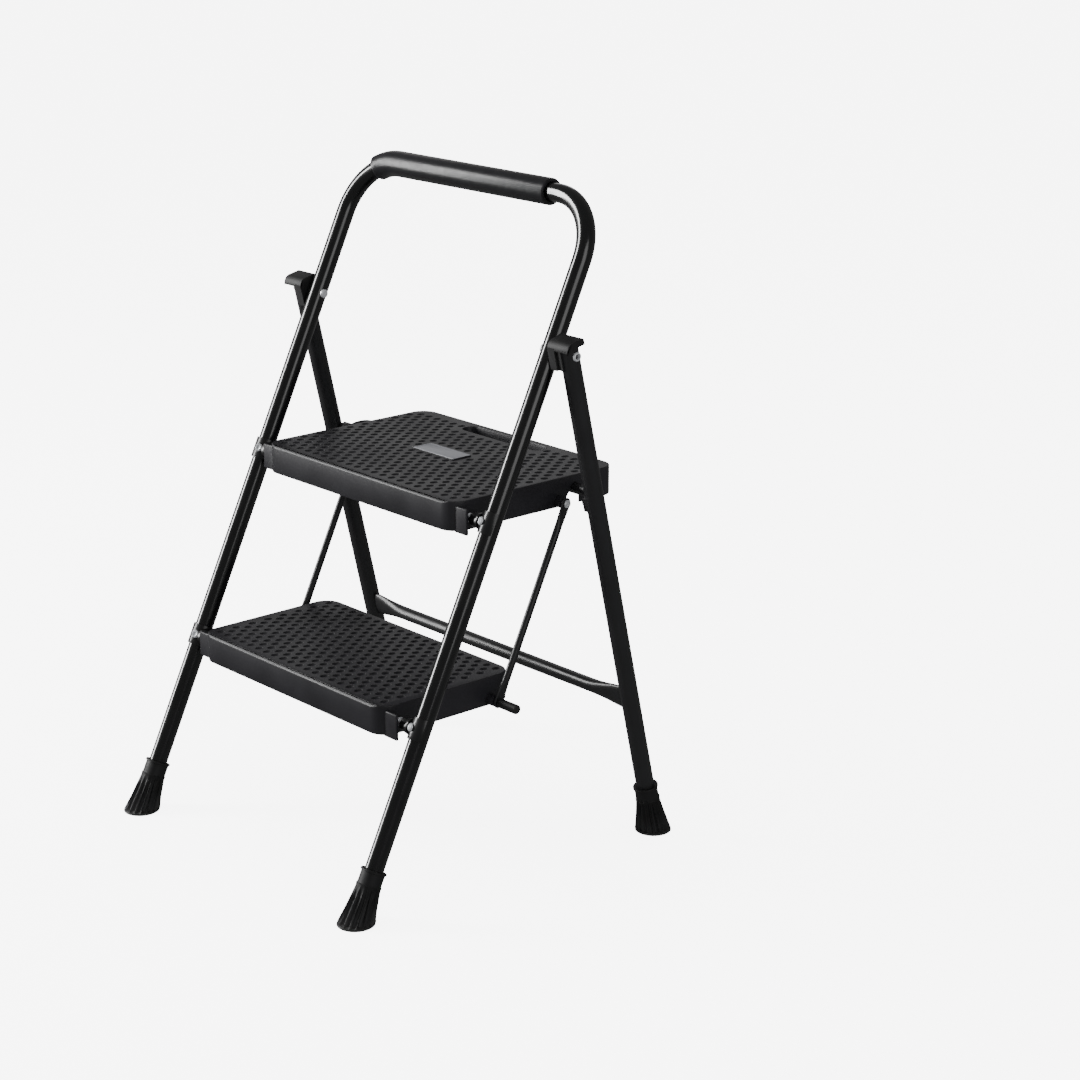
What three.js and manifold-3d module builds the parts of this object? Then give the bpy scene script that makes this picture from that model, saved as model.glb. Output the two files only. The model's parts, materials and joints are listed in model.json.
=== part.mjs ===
// Folding two-step ladder stool with a handrail: a bent tube front frame, a pair of rear legs
// hinged to it, two moulded treads and the link bars that fold the treads up together.
// Millimetres. +X is the user's right, -Y is the side the user climbs from, +Z is up.
import * as THREE from 'three';
import { mergeVertices } from 'three/addons/utils/BufferGeometryUtils.js';
import Module from 'manifold-3d';

const wasm = await Module();
wasm.setup();

// ---------- Driving dimensions ----------
const deg = Math.PI / 180;
const gap = 0.3;                  // clearance between fitted pieces

const tubeRadius = 12.5;          // 25 mm steel tube, front frame and rear legs
const tubeWall = 1.5;
const frontHalfWidth = 245;       // front leg axis from the middle plane
const rearHalfWidth = 280;        // rear leg axis from the middle plane
const footSpread = 488;           // front foot centre to rear foot centre, along Y
const frontLean = 25.5 * deg;
const barAlong = 966;             // grip bar axis, measured up the front frame
const bendRadius = 80;
const pivotAlong = 766;           // rear leg pivot, measured up the front frame

const gripRadius = 18;
const gripRightEnd = 150;
const gripLeftBend = 30 * deg;    // how far the foam runs into the left bend

const upperHingeAlong = 533;
const lowerHingeAlong = 258;
const hingeForward = 4;           // hinge pin axis in front of the leg axis
const hingeToFront = 25.5;        // hinge pin to a tread's front edge
const hingeToTop = 21.8;          // hinge pin to a tread's top face

const treadHeight = 39.4;
const treadCorner = 20;
const upperDepth = 286;
const upperHalfWidth = 203;
const lowerDepth = 221;
const lowerHalfWidth = 201;
const treadWall = 3;
const treadPlate = 3.5;

const linkPlane = 218;            // link bars run between the treads and the front legs
const linkPivotBack = 155;        // link pivots from the hinge pins, the same on both treads
const linkPivotDown = 9.4;

const upperBarRadius = 7.5;
const upperBarDown = 218;         // upper crossbar from the rear leg pivot, down the leg
const upperBarBack = 33;
const lowerBarRadius = 9.5;
const lowerBarDown = 502.6;

const bootHeight = 72;            // measured along the leg
const bootCollar = 57;
const bootSole = 26;              // half width of the sole

// ---------- Places that follow from them ----------
const frontFootY = -footSpread / 2;
const pivotY = frontFootY + pivotAlong * Math.sin(frontLean);
const pivotZ = pivotAlong * Math.cos(frontLean);
const rearLean = Math.atan2(footSpread / 2 - pivotY, pivotZ);
const rearLength = pivotZ / Math.cos(rearLean);

// A point of the front frame, from how far up the leg and how far in front of it it lies.
function onFrontFrame(along, forward) {
  const y = frontFootY + along * Math.sin(frontLean) - forward * Math.cos(frontLean);
  const z = along * Math.cos(frontLean) + forward * Math.sin(frontLean);
  return new THREE.Vector3(0, y, z);
}

const upperHinge = onFrontFrame(upperHingeAlong, hingeForward);
const lowerHinge = onFrontFrame(lowerHingeAlong, hingeForward);
const treadTop = hingeToTop;
const treadBottom = hingeToTop - treadHeight;

// ---------- Solids ----------
function solid(geometry) {
  const plain = new THREE.BufferGeometry();
  plain.setAttribute('position', geometry.getAttribute('position'));
  plain.setIndex(geometry.getIndex());
  const merged = mergeVertices(plain, 1e-4);
  return new wasm.Manifold(new wasm.Mesh({
    numProp: 3,
    vertProperties: Float32Array.from(merged.getAttribute('position').array),
    triVerts: Uint32Array.from(merged.getIndex().array),
  }));
}

function geometryOf(shape) {
  const mesh = shape.getMesh();
  const geometry = new THREE.BufferGeometry();
  geometry.setAttribute('position', new THREE.BufferAttribute(mesh.vertProperties, 3));
  geometry.setIndex(new THREE.BufferAttribute(mesh.triVerts, 1));
  geometry.computeVertexNormals();
  return geometry;
}

function join(shapes) {
  return shapes.reduce((whole, shape) => whole.add(shape));
}

// A round bar along X from x0 to x1.
function crossRod(radius, x0, x1, y, z, sides = 20) {
  const geometry = new THREE.CylinderGeometry(radius, radius, x1 - x0, sides);
  geometry.rotateZ(Math.PI / 2);
  geometry.translate((x0 + x1) / 2, y, z);
  return solid(geometry);
}

function block(x0, x1, y0, y1, z0, z1) {
  const geometry = new THREE.BoxGeometry(x1 - x0, y1 - y0, z1 - z0);
  geometry.translate((x0 + x1) / 2, (y0 + y1) / 2, (z0 + z1) / 2);
  return solid(geometry);
}

// An outline in the X-Y plane, raised from z0 to z1.
function raise(outline, z0, z1, curveSegments = 6) {
  const geometry = new THREE.ExtrudeGeometry(outline, {
    depth: z1 - z0, bevelEnabled: false, curveSegments,
  });
  geometry.translate(0, 0, z0);
  return solid(geometry);
}

// An outline drawn as (y, z), stretched along X from x0 to x1.
function stretch(outline, x0, x1, curveSegments = 6) {
  const geometry = new THREE.ExtrudeGeometry(outline, {
    depth: x1 - x0, bevelEnabled: false, curveSegments,
  });
  geometry.rotateX(Math.PI / 2);
  geometry.rotateZ(Math.PI / 2);
  geometry.translate(x0, 0, 0);
  return solid(geometry);
}

function roundedRectangle(x0, x1, y0, y1, radius) {
  const outline = new THREE.Shape();
  outline.absarc(x1 - radius, y0 + radius, radius, -Math.PI / 2, 0);
  outline.absarc(x1 - radius, y1 - radius, radius, 0, Math.PI / 2);
  outline.absarc(x0 + radius, y1 - radius, radius, Math.PI / 2, Math.PI);
  outline.absarc(x0 + radius, y0 + radius, radius, Math.PI, 1.5 * Math.PI);
  outline.closePath();
  return outline;
}

function ring(outer, inner) {
  const outline = new THREE.Shape();
  outline.absarc(0, 0, outer, 0, 2 * Math.PI);
  const bore = new THREE.Path();
  bore.absarc(0, 0, inner, 0, 2 * Math.PI);
  outline.holes.push(bore);
  return outline;
}

// A piece made for the right side, mirrored when it belongs on the left.
function onSide(side, shape) {
  return side > 0 ? shape : shape.mirror([1, 0, 0]);
}

// ---------- Bent tubes ----------
// A circular bend from the direction `from` to the direction `to`, both seen from its centre.
class Bend extends THREE.Curve {
  constructor(centre, from, to, angle) {
    super();
    this.centre = centre;
    this.from = from;
    this.to = to;
    this.angle = angle;
  }

  getPoint(t) {
    const turned = this.angle * t;
    return this.centre.clone()
      .addScaledVector(this.from, Math.cos(turned))
      .addScaledVector(this.to, Math.sin(turned));
  }
}

// Straight lengths and bends in a row. Stations are spread over the bends, not by length.
class TubePath extends THREE.Curve {
  constructor(stretches) {
    super();
    this.stretches = stretches;
    this.stations = stretches.reduce((sum, item) => sum + item.steps, 0);
  }

  getPoint(t) {
    let station = Math.min(Math.max(t, 0), 1) * this.stations;
    for (const { curve, steps } of this.stretches) {
      if (station <= steps) {
        return curve.getPoint(station / steps);
      }
      station -= steps;
    }
    return this.stretches.at(-1).curve.getPoint(1);
  }

  getUtoTmapping(u) {
    return u;
  }
}

function sweep(path, outline, curveSegments = 12) {
  return solid(new THREE.ExtrudeGeometry(outline, {
    extrudePath: path, steps: path.stations, bevelEnabled: false, curveSegments,
  }));
}

function straight(from, to) {
  return { curve: new THREE.LineCurve3(from, to), steps: 1 };
}

// ---------- Materials ----------
function finish(color, roughness, metalness) {
  return new THREE.MeshStandardMaterial({ color, roughness, metalness });
}

const glossPaint = finish('#0d0e10', 0.18, 0.4);
const satinPaint = finish('#17181a', 0.42, 0.4);
const foam = finish('#2c2d31', 0.9, 0);
const rubber = finish('#1c1c1e', 0.75, 0);
const treadPlastic = finish('#333437', 0.55, 0);
const badgePlastic = finish('#4a4b4f', 0.4, 0);
const hingePlastic = finish('#222326', 0.45, 0);
const zinc = finish('#c9cbce', 0.25, 1);

function place(group, name, shape, material) {
  const mesh = new THREE.Mesh(geometryOf(shape), material);
  mesh.name = name;
  group.add(mesh);
}

const sideNames = [['left', -1], ['right', 1]];

// ---------- Front frame ----------
// Its own axes: Z runs up the legs, -Y points forward, square to the legs.
const frontFrame = new THREE.Group();
frontFrame.position.set(0, frontFootY, 0);
frontFrame.rotation.x = -frontLean;

const tubeEnd = 21;
const bendCentreX = frontHalfWidth - bendRadius;
const bendCentreZ = barAlong - bendRadius;
const bendSteps = 8;
const strapHeight = 29;
const strapRadius = 14.9;
const strapRivetTurn = 20 * deg;  // rivet sits this far inboard of dead ahead
const strapRivetHole = 2.8;
const pivotHole = 4.3;

function frontTubePath() {
  const point = (x, z) => new THREE.Vector3(x, 0, z);
  const centre = (side) => point(side * bendCentreX, bendCentreZ);
  const out = (side) => point(side * bendRadius, 0);
  const up = point(0, bendRadius);
  return new TubePath([
    straight(point(-frontHalfWidth, tubeEnd), point(-frontHalfWidth, bendCentreZ)),
    { curve: new Bend(centre(-1), out(-1), up, Math.PI / 2), steps: bendSteps },
    straight(point(-bendCentreX, barAlong), point(bendCentreX, barAlong)),
    { curve: new Bend(centre(1), up, out(1), Math.PI / 2), steps: bendSteps },
    straight(point(frontHalfWidth, bendCentreZ), point(frontHalfWidth, tubeEnd)),
  ]);
}

// A short bar from the leg axis out through the front of the leg, where a strap rivet goes.
function strapRivetBar(radius, reach, along) {
  const geometry = new THREE.CylinderGeometry(radius, radius, reach, 12);
  geometry.translate(0, -reach / 2, 0);
  geometry.rotateZ(-strapRivetTurn);
  geometry.translate(frontHalfWidth, 0, along);
  return solid(geometry);
}

function frontTube() {
  let tube = sweep(frontTubePath(), ring(tubeRadius, tubeRadius - tubeWall));
  for (const [, side] of sideNames) {
    for (const along of [upperHingeAlong, lowerHingeAlong]) {
      tube = tube.subtract(onSide(side, strapRivetBar(strapRivetHole, 20, along)));
    }
    const outer = frontHalfWidth + 20;
    tube = tube.subtract(onSide(side, crossRod(pivotHole, outer - 40, outer, 0, pivotAlong)));
  }
  return tube;
}

function handleGrip() {
  const point = (x, z) => new THREE.Vector3(x, 0, z);
  const start = Math.PI / 2 - gripLeftBend;
  const from = point(-Math.cos(start), Math.sin(start)).multiplyScalar(bendRadius);
  const to = point(Math.sin(start), Math.cos(start)).multiplyScalar(bendRadius);
  const path = new TubePath([
    { curve: new Bend(point(-bendCentreX, bendCentreZ), from, to, gripLeftBend), steps: 3 },
    straight(point(-bendCentreX, barAlong), point(gripRightEnd, barAlong)),
  ]);
  return sweep(path, ring(gripRadius, tubeRadius + gap));
}

// Steel strap hooked round the front of a leg, with the eye that carries a tread's hinge pin.
const eyeRadius = 10;
const eyeInner = 215;
const pinRadius = 4;

function hingeStrap(along) {
  const from = 150 * deg;
  const to = 330 * deg;
  const outline = new THREE.Shape();
  outline.absarc(0, 0, strapRadius, from, to, false);
  outline.absarc(0, 0, tubeRadius + gap, to, from, true);
  outline.closePath();
  const wrap = raise(outline, along - strapHeight / 2, along + strapHeight / 2, 10)
    .translate([frontHalfWidth, 0, 0]);
  const eyeOuter = frontHalfWidth - tubeRadius - gap;
  const eye = crossRod(eyeRadius, eyeInner, eyeOuter, -hingeForward, along);
  const bore = crossRod(pinRadius + gap, eyeInner - 1, eyeOuter - 1.5, -hingeForward, along);
  return wrap.add(eye).subtract(bore)
    .subtract(strapRivetBar(strapRivetHole, 20, along));
}

// Domed rivet head outside the strap, shank through strap and tube wall.
function strapRivet(along) {
  const profile = [
    [0, 9.6], [2.5, 9.6], [2.5, 15.2], [5.6, 15.2],
    [5.4, 16.4], [4.2, 17.6], [2.2, 18.3], [0, 18.5],
  ];
  const geometry = new THREE.LatheGeometry(profile.map(([r, h]) => new THREE.Vector2(r, h)), 16);
  geometry.rotateX(Math.PI);
  geometry.rotateZ(-strapRivetTurn);
  geometry.translate(frontHalfWidth, 0, along);
  return solid(geometry);
}

// Hinge pin with a collar between the tread's side wall and the strap's eye.
function hingePin(along) {
  const shank = crossRod(pinRadius, 196, 229.5, -hingeForward, along, 16);
  const collar = crossRod(6, 204.5, 213, -hingeForward, along, 16);
  return shank.add(collar);
}

place(frontFrame, 'front_frame_tube', frontTube(), glossPaint);
place(frontFrame, 'handle_grip', handleGrip(), foam);
for (const [level, along] of [['upper', upperHingeAlong], ['lower', lowerHingeAlong]]) {
  for (const [name, side] of sideNames) {
    place(frontFrame, `${level}_hinge_strap_${name}`, onSide(side, hingeStrap(along)), glossPaint);
    place(frontFrame, `${level}_strap_rivet_${name}`, onSide(side, strapRivet(along)), zinc);
    place(frontFrame, `${level}_hinge_pin_${name}`, onSide(side, hingePin(along)), zinc);
  }
}

// ---------- Rear frame ----------
// Its own axes: the pivot is the origin, -Z runs down the legs, -Y points forward.
const rearFrame = new THREE.Group();
rearFrame.position.set(0, pivotY, pivotZ);
rearFrame.rotation.x = rearLean;

const rearLegTop = 12;
const capInner = frontHalfWidth + tubeRadius + 2;
const capWeb = 3;
const capOuter = 297.5;
const capPlateOuter = 272;
const capFront = -17.5;
const capWall = 3;
const capLow = -17;
const capRoofLow = rearLegTop + 0.5;
const capRoofTop = 21.5;

function rearLeg() {
  const tube = raise(ring(tubeRadius, tubeRadius - tubeWall), tubeEnd - rearLength, rearLegTop, 12)
    .translate([rearHalfWidth, 0, 0]);
  return tube.subtract(crossRod(pivotHole, rearHalfWidth - 20, rearHalfWidth + 20, 0, 0));
}

// Moulded cap over the rear leg's top, with a web and a front lip beside the front leg.
function hingeCap() {
  const shoulder = new THREE.Shape();
  shoulder.moveTo(13, capRoofLow);
  shoulder.lineTo(13, capRoofTop - 3);
  shoulder.quadraticCurveTo(13, capRoofTop, 9, capRoofTop);
  shoulder.lineTo(-6, capRoofTop);
  shoulder.quadraticCurveTo(capFront, capRoofTop, capFront, capRoofLow);
  shoulder.closePath();
  const roof = stretch(shoulder, capInner, capOuter);
  const lip = block(capInner, capPlateOuter, capFront, capFront + capWall, capLow, capRoofLow + 1);
  const web = new THREE.Shape();
  web.moveTo(capFront, capLow);
  web.lineTo(-4, capLow);
  web.quadraticCurveTo(13, capLow, 13, 0);
  web.lineTo(13, capRoofLow + 1);
  web.lineTo(capFront, capRoofLow + 1);
  web.closePath();
  const side = stretch(web, capInner, capInner + capWeb);
  const boss = crossRod(8, capInner + 1, rearHalfWidth - tubeRadius - gap, 0, 0);
  const bore = crossRod(pivotHole, capInner - 1, rearHalfWidth, 0, 0);
  return join([roof, lip, side, boss]).subtract(bore);
}

// One rivet goes through the front leg, the cap's web and the rear leg.
function pivotRivet() {
  const shank = crossRod(4, 229, 296, 0, 0, 16);
  const innerHead = crossRod(6, 229, frontHalfWidth - tubeRadius - 0.2, 0, 0, 16);
  const outerHead = crossRod(6, rearHalfWidth + tubeRadius + 0.2, 296, 0, 0, 16);
  return join([shank, innerHead, outerHead]);
}

// Flattened tongue at the end of a crossbar, lying against the inside of a rear leg.
function tongue(width, y, z, reach) {
  const face = rearHalfWidth - tubeRadius - gap;
  return block(face - 3, face, y - reach, y + reach, z - width / 2, z + width / 2);
}

// Upper crossbar: set back behind the legs, its ends turned forward to meet them.
function upperCrossbar() {
  const point = (x, y) => new THREE.Vector3(x, y, -upperBarDown);
  const turn = 16;
  const legFace = 252;
  const path = new TubePath([
    straight(point(-legFace, 6), point(-legFace, upperBarBack - turn)),
    {
      curve: new Bend(
        point(-legFace + turn, upperBarBack - turn), point(-turn, 0).setZ(0),
        point(0, turn).setZ(0), Math.PI / 2,
      ),
      steps: 5,
    },
    straight(point(-legFace + turn, upperBarBack), point(legFace - turn, upperBarBack)),
    {
      curve: new Bend(
        point(legFace - turn, upperBarBack - turn), point(0, turn).setZ(0),
        point(turn, 0).setZ(0), Math.PI / 2,
      ),
      steps: 5,
    },
    straight(point(legFace, upperBarBack - turn), point(legFace, 6)),
  ]);
  const disc = new THREE.Shape();
  disc.absarc(0, 0, upperBarRadius, 0, 2 * Math.PI);
  const bar = sweep(path, disc, 8);
  const plateLow = -upperBarDown - upperBarRadius - 1.5;
  const plateHigh = -upperBarDown + upperBarRadius + 1.5;
  const plates = sideNames.map(([, side]) => onSide(
    side, block(legFace, rearHalfWidth - tubeRadius - gap, 1, 12, plateLow, plateHigh),
  ));
  return join([bar, ...plates]);
}

function lowerCrossbar() {
  const face = rearHalfWidth - tubeRadius - gap;
  const bar = crossRod(lowerBarRadius, -face + 2, face - 2, 0, -lowerBarDown, 24);
  const ends = sideNames.map(([, side]) => onSide(side, tongue(27, 0, -lowerBarDown, 5)));
  return join([bar, ...ends]);
}

for (const [name, side] of sideNames) {
  place(rearFrame, `rear_leg_${name}`, onSide(side, rearLeg()), satinPaint);
  place(rearFrame, `hinge_cap_${name}`, onSide(side, hingeCap()), hingePlastic);
  place(rearFrame, `pivot_rivet_${name}`, onSide(side, pivotRivet()), zinc);
}
place(rearFrame, 'upper_crossbar', upperCrossbar(), satinPaint);
place(rearFrame, 'lower_crossbar', lowerCrossbar(), satinPaint);

// ---------- Feet ----------
// Rubber boot on a leg that leans by `lean`, in a group whose origin is the foot centre.
// Rings are square to the leg at the collar and level at the sole.
const bootSides = 36;

function bootRadius(along) {
  const collarRadius = 15.8;
  if (along >= bootHeight - 3) {
    return collarRadius + 0.9;
  }
  if (along >= bootCollar) {
    return collarRadius;
  }
  const down = 1 - along / bootCollar;
  return collarRadius + (bootSole - collarRadius) * down ** 1.25;
}

function boot(lean) {
  const stations = [bootHeight, bootHeight - 3, bootHeight - 3.5, bootCollar, 42, 28, 14, 2.5, 0];
  const points = [];
  for (const along of stations) {
    const tilt = lean * Math.min(along / bootCollar, 1);
    const radius = along === 0 ? bootSole - 1 : bootRadius(along);
    for (let i = 0; i < bootSides; i += 1) {
      const turn = (i / bootSides) * 2 * Math.PI;
      const across = radius * Math.cos(turn);
      const back = radius * Math.sin(turn);
      points.push(across);
      points.push(-along * Math.sin(lean) + back * Math.cos(tilt));
      points.push(along * Math.cos(lean) + back * Math.sin(tilt));
    }
  }
  const top = stations.length * bootSides;
  points.push(0, -bootHeight * Math.sin(lean), bootHeight * Math.cos(lean), 0, 0, 0);
  const faces = [];
  for (let i = 0; i < bootSides; i += 1) {
    const next = (i + 1) % bootSides;
    faces.push(top, i, next);
    for (let level = 0; level < stations.length - 1; level += 1) {
      const a = level * bootSides;
      const b = a + bootSides;
      faces.push(a + i, b + i, b + next, a + i, b + next, a + next);
    }
    const sole = (stations.length - 1) * bootSides;
    faces.push(top + 1, sole + next, sole + i);
  }
  const geometry = new THREE.BufferGeometry();
  geometry.setAttribute('position', new THREE.Float32BufferAttribute(points, 3));
  geometry.setIndex(faces);
  const bore = new THREE.CylinderGeometry(tubeRadius + gap, tubeRadius + gap, 100, 24);
  bore.rotateX(Math.PI / 2);
  bore.translate(0, 0, tubeEnd - gap + 50);
  bore.rotateX(lean);
  return solid(geometry).subtract(solid(bore));
}

const feet = new THREE.Group();
for (const [name, side] of sideNames) {
  for (const [end, y, x, lean] of [
    ['front', frontFootY, frontHalfWidth, -frontLean],
    ['rear', -frontFootY, rearHalfWidth, rearLean],
  ]) {
    const foot = new THREE.Group();
    foot.position.set(side * x, y, 0);
    place(foot, `${end}_foot_${name}`, boot(lean), rubber);
    feet.add(foot);
  }
}

// ---------- Treads ----------
// A tread's own origin is its hinge pin axis, on the middle plane.
const ribHalf = 1.2;
const ribRise = 7;                // ribs stop this far above the skirt's lower edge
const ribsX = [-150, -100, -50, 0, 50, 100, 150];

function treadShell(halfWidth, depth, ribsY) {
  const y0 = -hingeToFront;
  const y1 = depth - hingeToFront;
  const outer = raise(
    roundedRectangle(-halfWidth, halfWidth, y0, y1, treadCorner), treadBottom, treadTop,
  );
  const inner = raise(
    roundedRectangle(
      -halfWidth + treadWall, halfWidth - treadWall, y0 + treadWall, y1 - treadWall,
      treadCorner - treadWall,
    ),
    treadBottom - 1, treadTop - treadPlate,
  );
  const bevel = new THREE.Shape();
  bevel.moveTo(y0 - 1, treadTop - 3.4);
  bevel.lineTo(y0 + 9, treadTop);
  bevel.lineTo(y0 + 9, treadTop + 1);
  bevel.lineTo(y0 - 1, treadTop + 1);
  bevel.closePath();
  const low = treadBottom + ribRise;
  const high = treadTop - treadPlate + 1;
  const ribs = [
    ...ribsX.map((x) => block(x - ribHalf, x + ribHalf, y0 + 1, y1 - 1, low, high)),
    ...ribsY.map((y) => block(-halfWidth + 1, halfWidth - 1, y - ribHalf, y + ribHalf, low, high)),
  ];
  return join([outer.subtract(inner), ...ribs])
    .subtract(stretch(bevel, -halfWidth - 1, halfWidth + 1));
}

// Guard standing out from a front corner, in front of the hinge.
function cornerGuard(side, halfWidth) {
  const y = -hingeToFront;
  const guard = block(halfWidth - treadCorner, 219, y + 3, y + 7, treadBottom, treadTop - 8);
  return onSide(side, guard);
}

function treadSideCuts(halfWidth) {
  return sideNames.map(([, side]) => onSide(
    side, crossRod(pinRadius + gap, halfWidth - treadWall - 2, halfWidth + 1, 0, 0, 16),
  ));
}

const linkBossRadius = 7.5;
const linkBossOuter = 213;

// A pair of round bars on the link pivots' axis, one at each side.
function linkPivotBars(radius, inner, outer) {
  return sideNames.map(([, side]) => onSide(
    side, crossRod(radius, inner, outer, linkPivotBack, -linkPivotDown),
  ));
}

function linkBosses(halfWidth) {
  return linkPivotBars(linkBossRadius, halfWidth - treadWall - 6, linkBossOuter);
}

function slotOutline(halfLength, halfHeight, y) {
  return roundedRectangle(-halfLength, halfLength, y - halfHeight, y + halfHeight, halfHeight - 0.01);
}

// Room for the upper crossbar, which leaves the tread downward and forward as it folds.
const notchSlope = 0.72;

function crossbarNotch() {
  const barY = pivotY + upperBarDown * Math.sin(rearLean) + upperBarBack * Math.cos(rearLean);
  const barZ = pivotZ - upperBarDown * Math.cos(rearLean) + upperBarBack * Math.sin(rearLean);
  const y = barY - upperHinge.y;
  const z = barZ - upperHinge.z;
  const room = upperBarRadius + 0.8;
  const drop = z - treadBottom + 2;
  const notch = new THREE.Shape();
  notch.moveTo(y + room, z);
  notch.absarc(y, z, room, 0, Math.PI, false);
  notch.lineTo(y - room - notchSlope * drop, z - drop);
  notch.lineTo(y + room, z - drop);
  notch.closePath();
  return stretch(notch, -upperHalfWidth - 1, upperHalfWidth + 1, 6);
}

const slotY = 236.5;
const slotHalfLength = 83;
const slotHalfHeight = 13;
const badge = { halfX: 42, halfY: 16, y: 124, thick: 2.2, recess: 1 };

function upperTread() {
  const shell = treadShell(upperHalfWidth, upperDepth, [50, 97, 143]);
  const collar = raise(
    slotOutline(slotHalfLength + 3, slotHalfHeight + 3, slotY), treadBottom + 4, treadTop - 1,
  );
  const guards = sideNames.map(([, side]) => cornerGuard(side, upperHalfWidth));
  const seatHalfX = badge.halfX + gap;
  const seatHalfY = badge.halfY + gap;
  const seat = block(
    -seatHalfX, seatHalfX, badge.y - seatHalfY, badge.y + seatHalfY,
    treadTop - badge.recess, treadTop + 1,
  );
  const cuts = [
    raise(slotOutline(slotHalfLength, slotHalfHeight, slotY), treadBottom - 1, treadTop + 1),
    crossbarNotch(),
    seat,
    ...treadSideCuts(upperHalfWidth),
    ...linkPivotBars(3.3, upperHalfWidth - treadWall - 8, linkBossOuter + 1),
  ];
  return cuts.reduce(
    (whole, cut) => whole.subtract(cut),
    join([shell, collar, ...guards, ...linkBosses(upperHalfWidth)]),
  );
}

function badgePlate() {
  const low = treadTop - badge.recess + gap;
  return raise(
    roundedRectangle(-badge.halfX, badge.halfX, badge.y - badge.halfY, badge.y + badge.halfY, 2),
    low, low + badge.thick + badge.recess - gap, 2,
  );
}

function lowerTread() {
  const shell = treadShell(lowerHalfWidth, lowerDepth, [60, 115]);
  const guards = sideNames.map(([, side]) => cornerGuard(side, lowerHalfWidth));
  const rodRoom = crossRod(
    rodRadius + gap, -linkBossOuter - 1, linkBossOuter + 1, linkPivotBack, -linkPivotDown,
  );
  const cuts = [rodRoom, ...treadSideCuts(lowerHalfWidth)];
  return cuts.reduce(
    (whole, cut) => whole.subtract(cut),
    join([shell, ...guards, ...linkBosses(lowerHalfWidth)]),
  );
}

const rodRadius = 4;
const sleeveRadius = 6.5;
const sleeveInner = 222;
const sleeveOuter = 256;

function rearRod() {
  return crossRod(
    rodRadius, -sleeveOuter + 4.5, sleeveOuter - 4.5, linkPivotBack, -linkPivotDown, 16,
  );
}

// Blind sleeve over the end of the rod, outside the link bar.
function rodSleeve() {
  const body = crossRod(sleeveRadius, sleeveInner, sleeveOuter, linkPivotBack, -linkPivotDown);
  const bore = crossRod(
    rodRadius + gap, sleeveInner - 1, sleeveOuter - 4, linkPivotBack, -linkPivotDown,
  );
  return body.subtract(bore);
}

// Rivet through the link bar into the upper tread's boss, headed on both ends.
function linkRivet() {
  const y = linkPivotBack;
  const z = -linkPivotDown;
  const tail = upperHalfWidth - treadWall - 6 - gap;
  return join([
    crossRod(3, tail - 2.5, 223, y, z, 16),
    crossRod(5, tail - 2.5, tail, y, z, 16),
    crossRod(5.5, 220.1, 223, y, z, 16),
  ]);
}

const upperStep = new THREE.Group();
upperStep.position.copy(upperHinge);
place(upperStep, 'upper_tread', upperTread(), treadPlastic);
place(upperStep, 'badge_plate', badgePlate(), badgePlastic);

const lowerStep = new THREE.Group();
lowerStep.position.copy(lowerHinge);
place(lowerStep, 'lower_tread', lowerTread(), treadPlastic);
place(lowerStep, 'rear_rod', rearRod(), satinPaint);
for (const [name, side] of sideNames) {
  place(upperStep, `link_rivet_${name}`, onSide(side, linkRivet()), zinc);
  place(lowerStep, `rod_sleeve_${name}`, onSide(side, rodSleeve()), hingePlastic);
}

// ---------- Link bars ----------
// Round tube between the treads, pressed flat at both ends. Its origin is the upper pivot.
const linkLength = upperHingeAlong - lowerHingeAlong;
const linkRadius = 5;
const linkFlat = { halfWidth: 7.5, halfThick: 1.75, length: 20, end: 8 };

function linkBar() {
  const tube = new THREE.CylinderGeometry(
    linkRadius, linkRadius, linkLength - 2 * linkFlat.length, 16,
  );
  tube.rotateX(Math.PI / 2);
  tube.translate(linkPlane, 0, -linkLength / 2);
  const outline = new THREE.Shape();
  outline.absarc(0, 0, linkFlat.end, 0, Math.PI, false);
  outline.lineTo(-linkFlat.halfWidth, -linkFlat.length - 3);
  outline.lineTo(linkFlat.halfWidth, -linkFlat.length - 3);
  outline.closePath();
  const flat = stretch(outline, linkPlane - linkFlat.halfThick, linkPlane + linkFlat.halfThick);
  const lowerFlat = flat.mirror([0, 0, 1]).translate([0, 0, -linkLength]);
  const upperBore = crossRod(3 + gap, linkPlane - 4, linkPlane + 4, 0, 0);
  const lowerBore = crossRod(rodRadius + 0.6, linkPlane - 4, linkPlane + 4, 0, -linkLength);
  return join([solid(tube), flat, lowerFlat]).subtract(upperBore).subtract(lowerBore);
}

const links = new THREE.Group();
links.position.set(0, upperHinge.y + linkPivotBack, upperHinge.z - linkPivotDown);
links.rotation.x = -frontLean;
for (const [name, side] of sideNames) {
  place(links, `link_bar_${name}`, onSide(side, linkBar()), satinPaint);
}

const stepStool = new THREE.Group();
stepStool.add(frontFrame, rearFrame, feet, upperStep, lowerStep, links);
export default stepStool;
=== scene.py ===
# %% [markdown]
# # A folding two-step stool
#
# The stool is a bent steel tube with a foam handrail, a pair of hinged rear legs, two moulded
# plastic treads and the small steel parts that let it fold flat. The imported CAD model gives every
# part's place. Each piece here is modelled in more detail on that place and rides on the same body.

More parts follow.
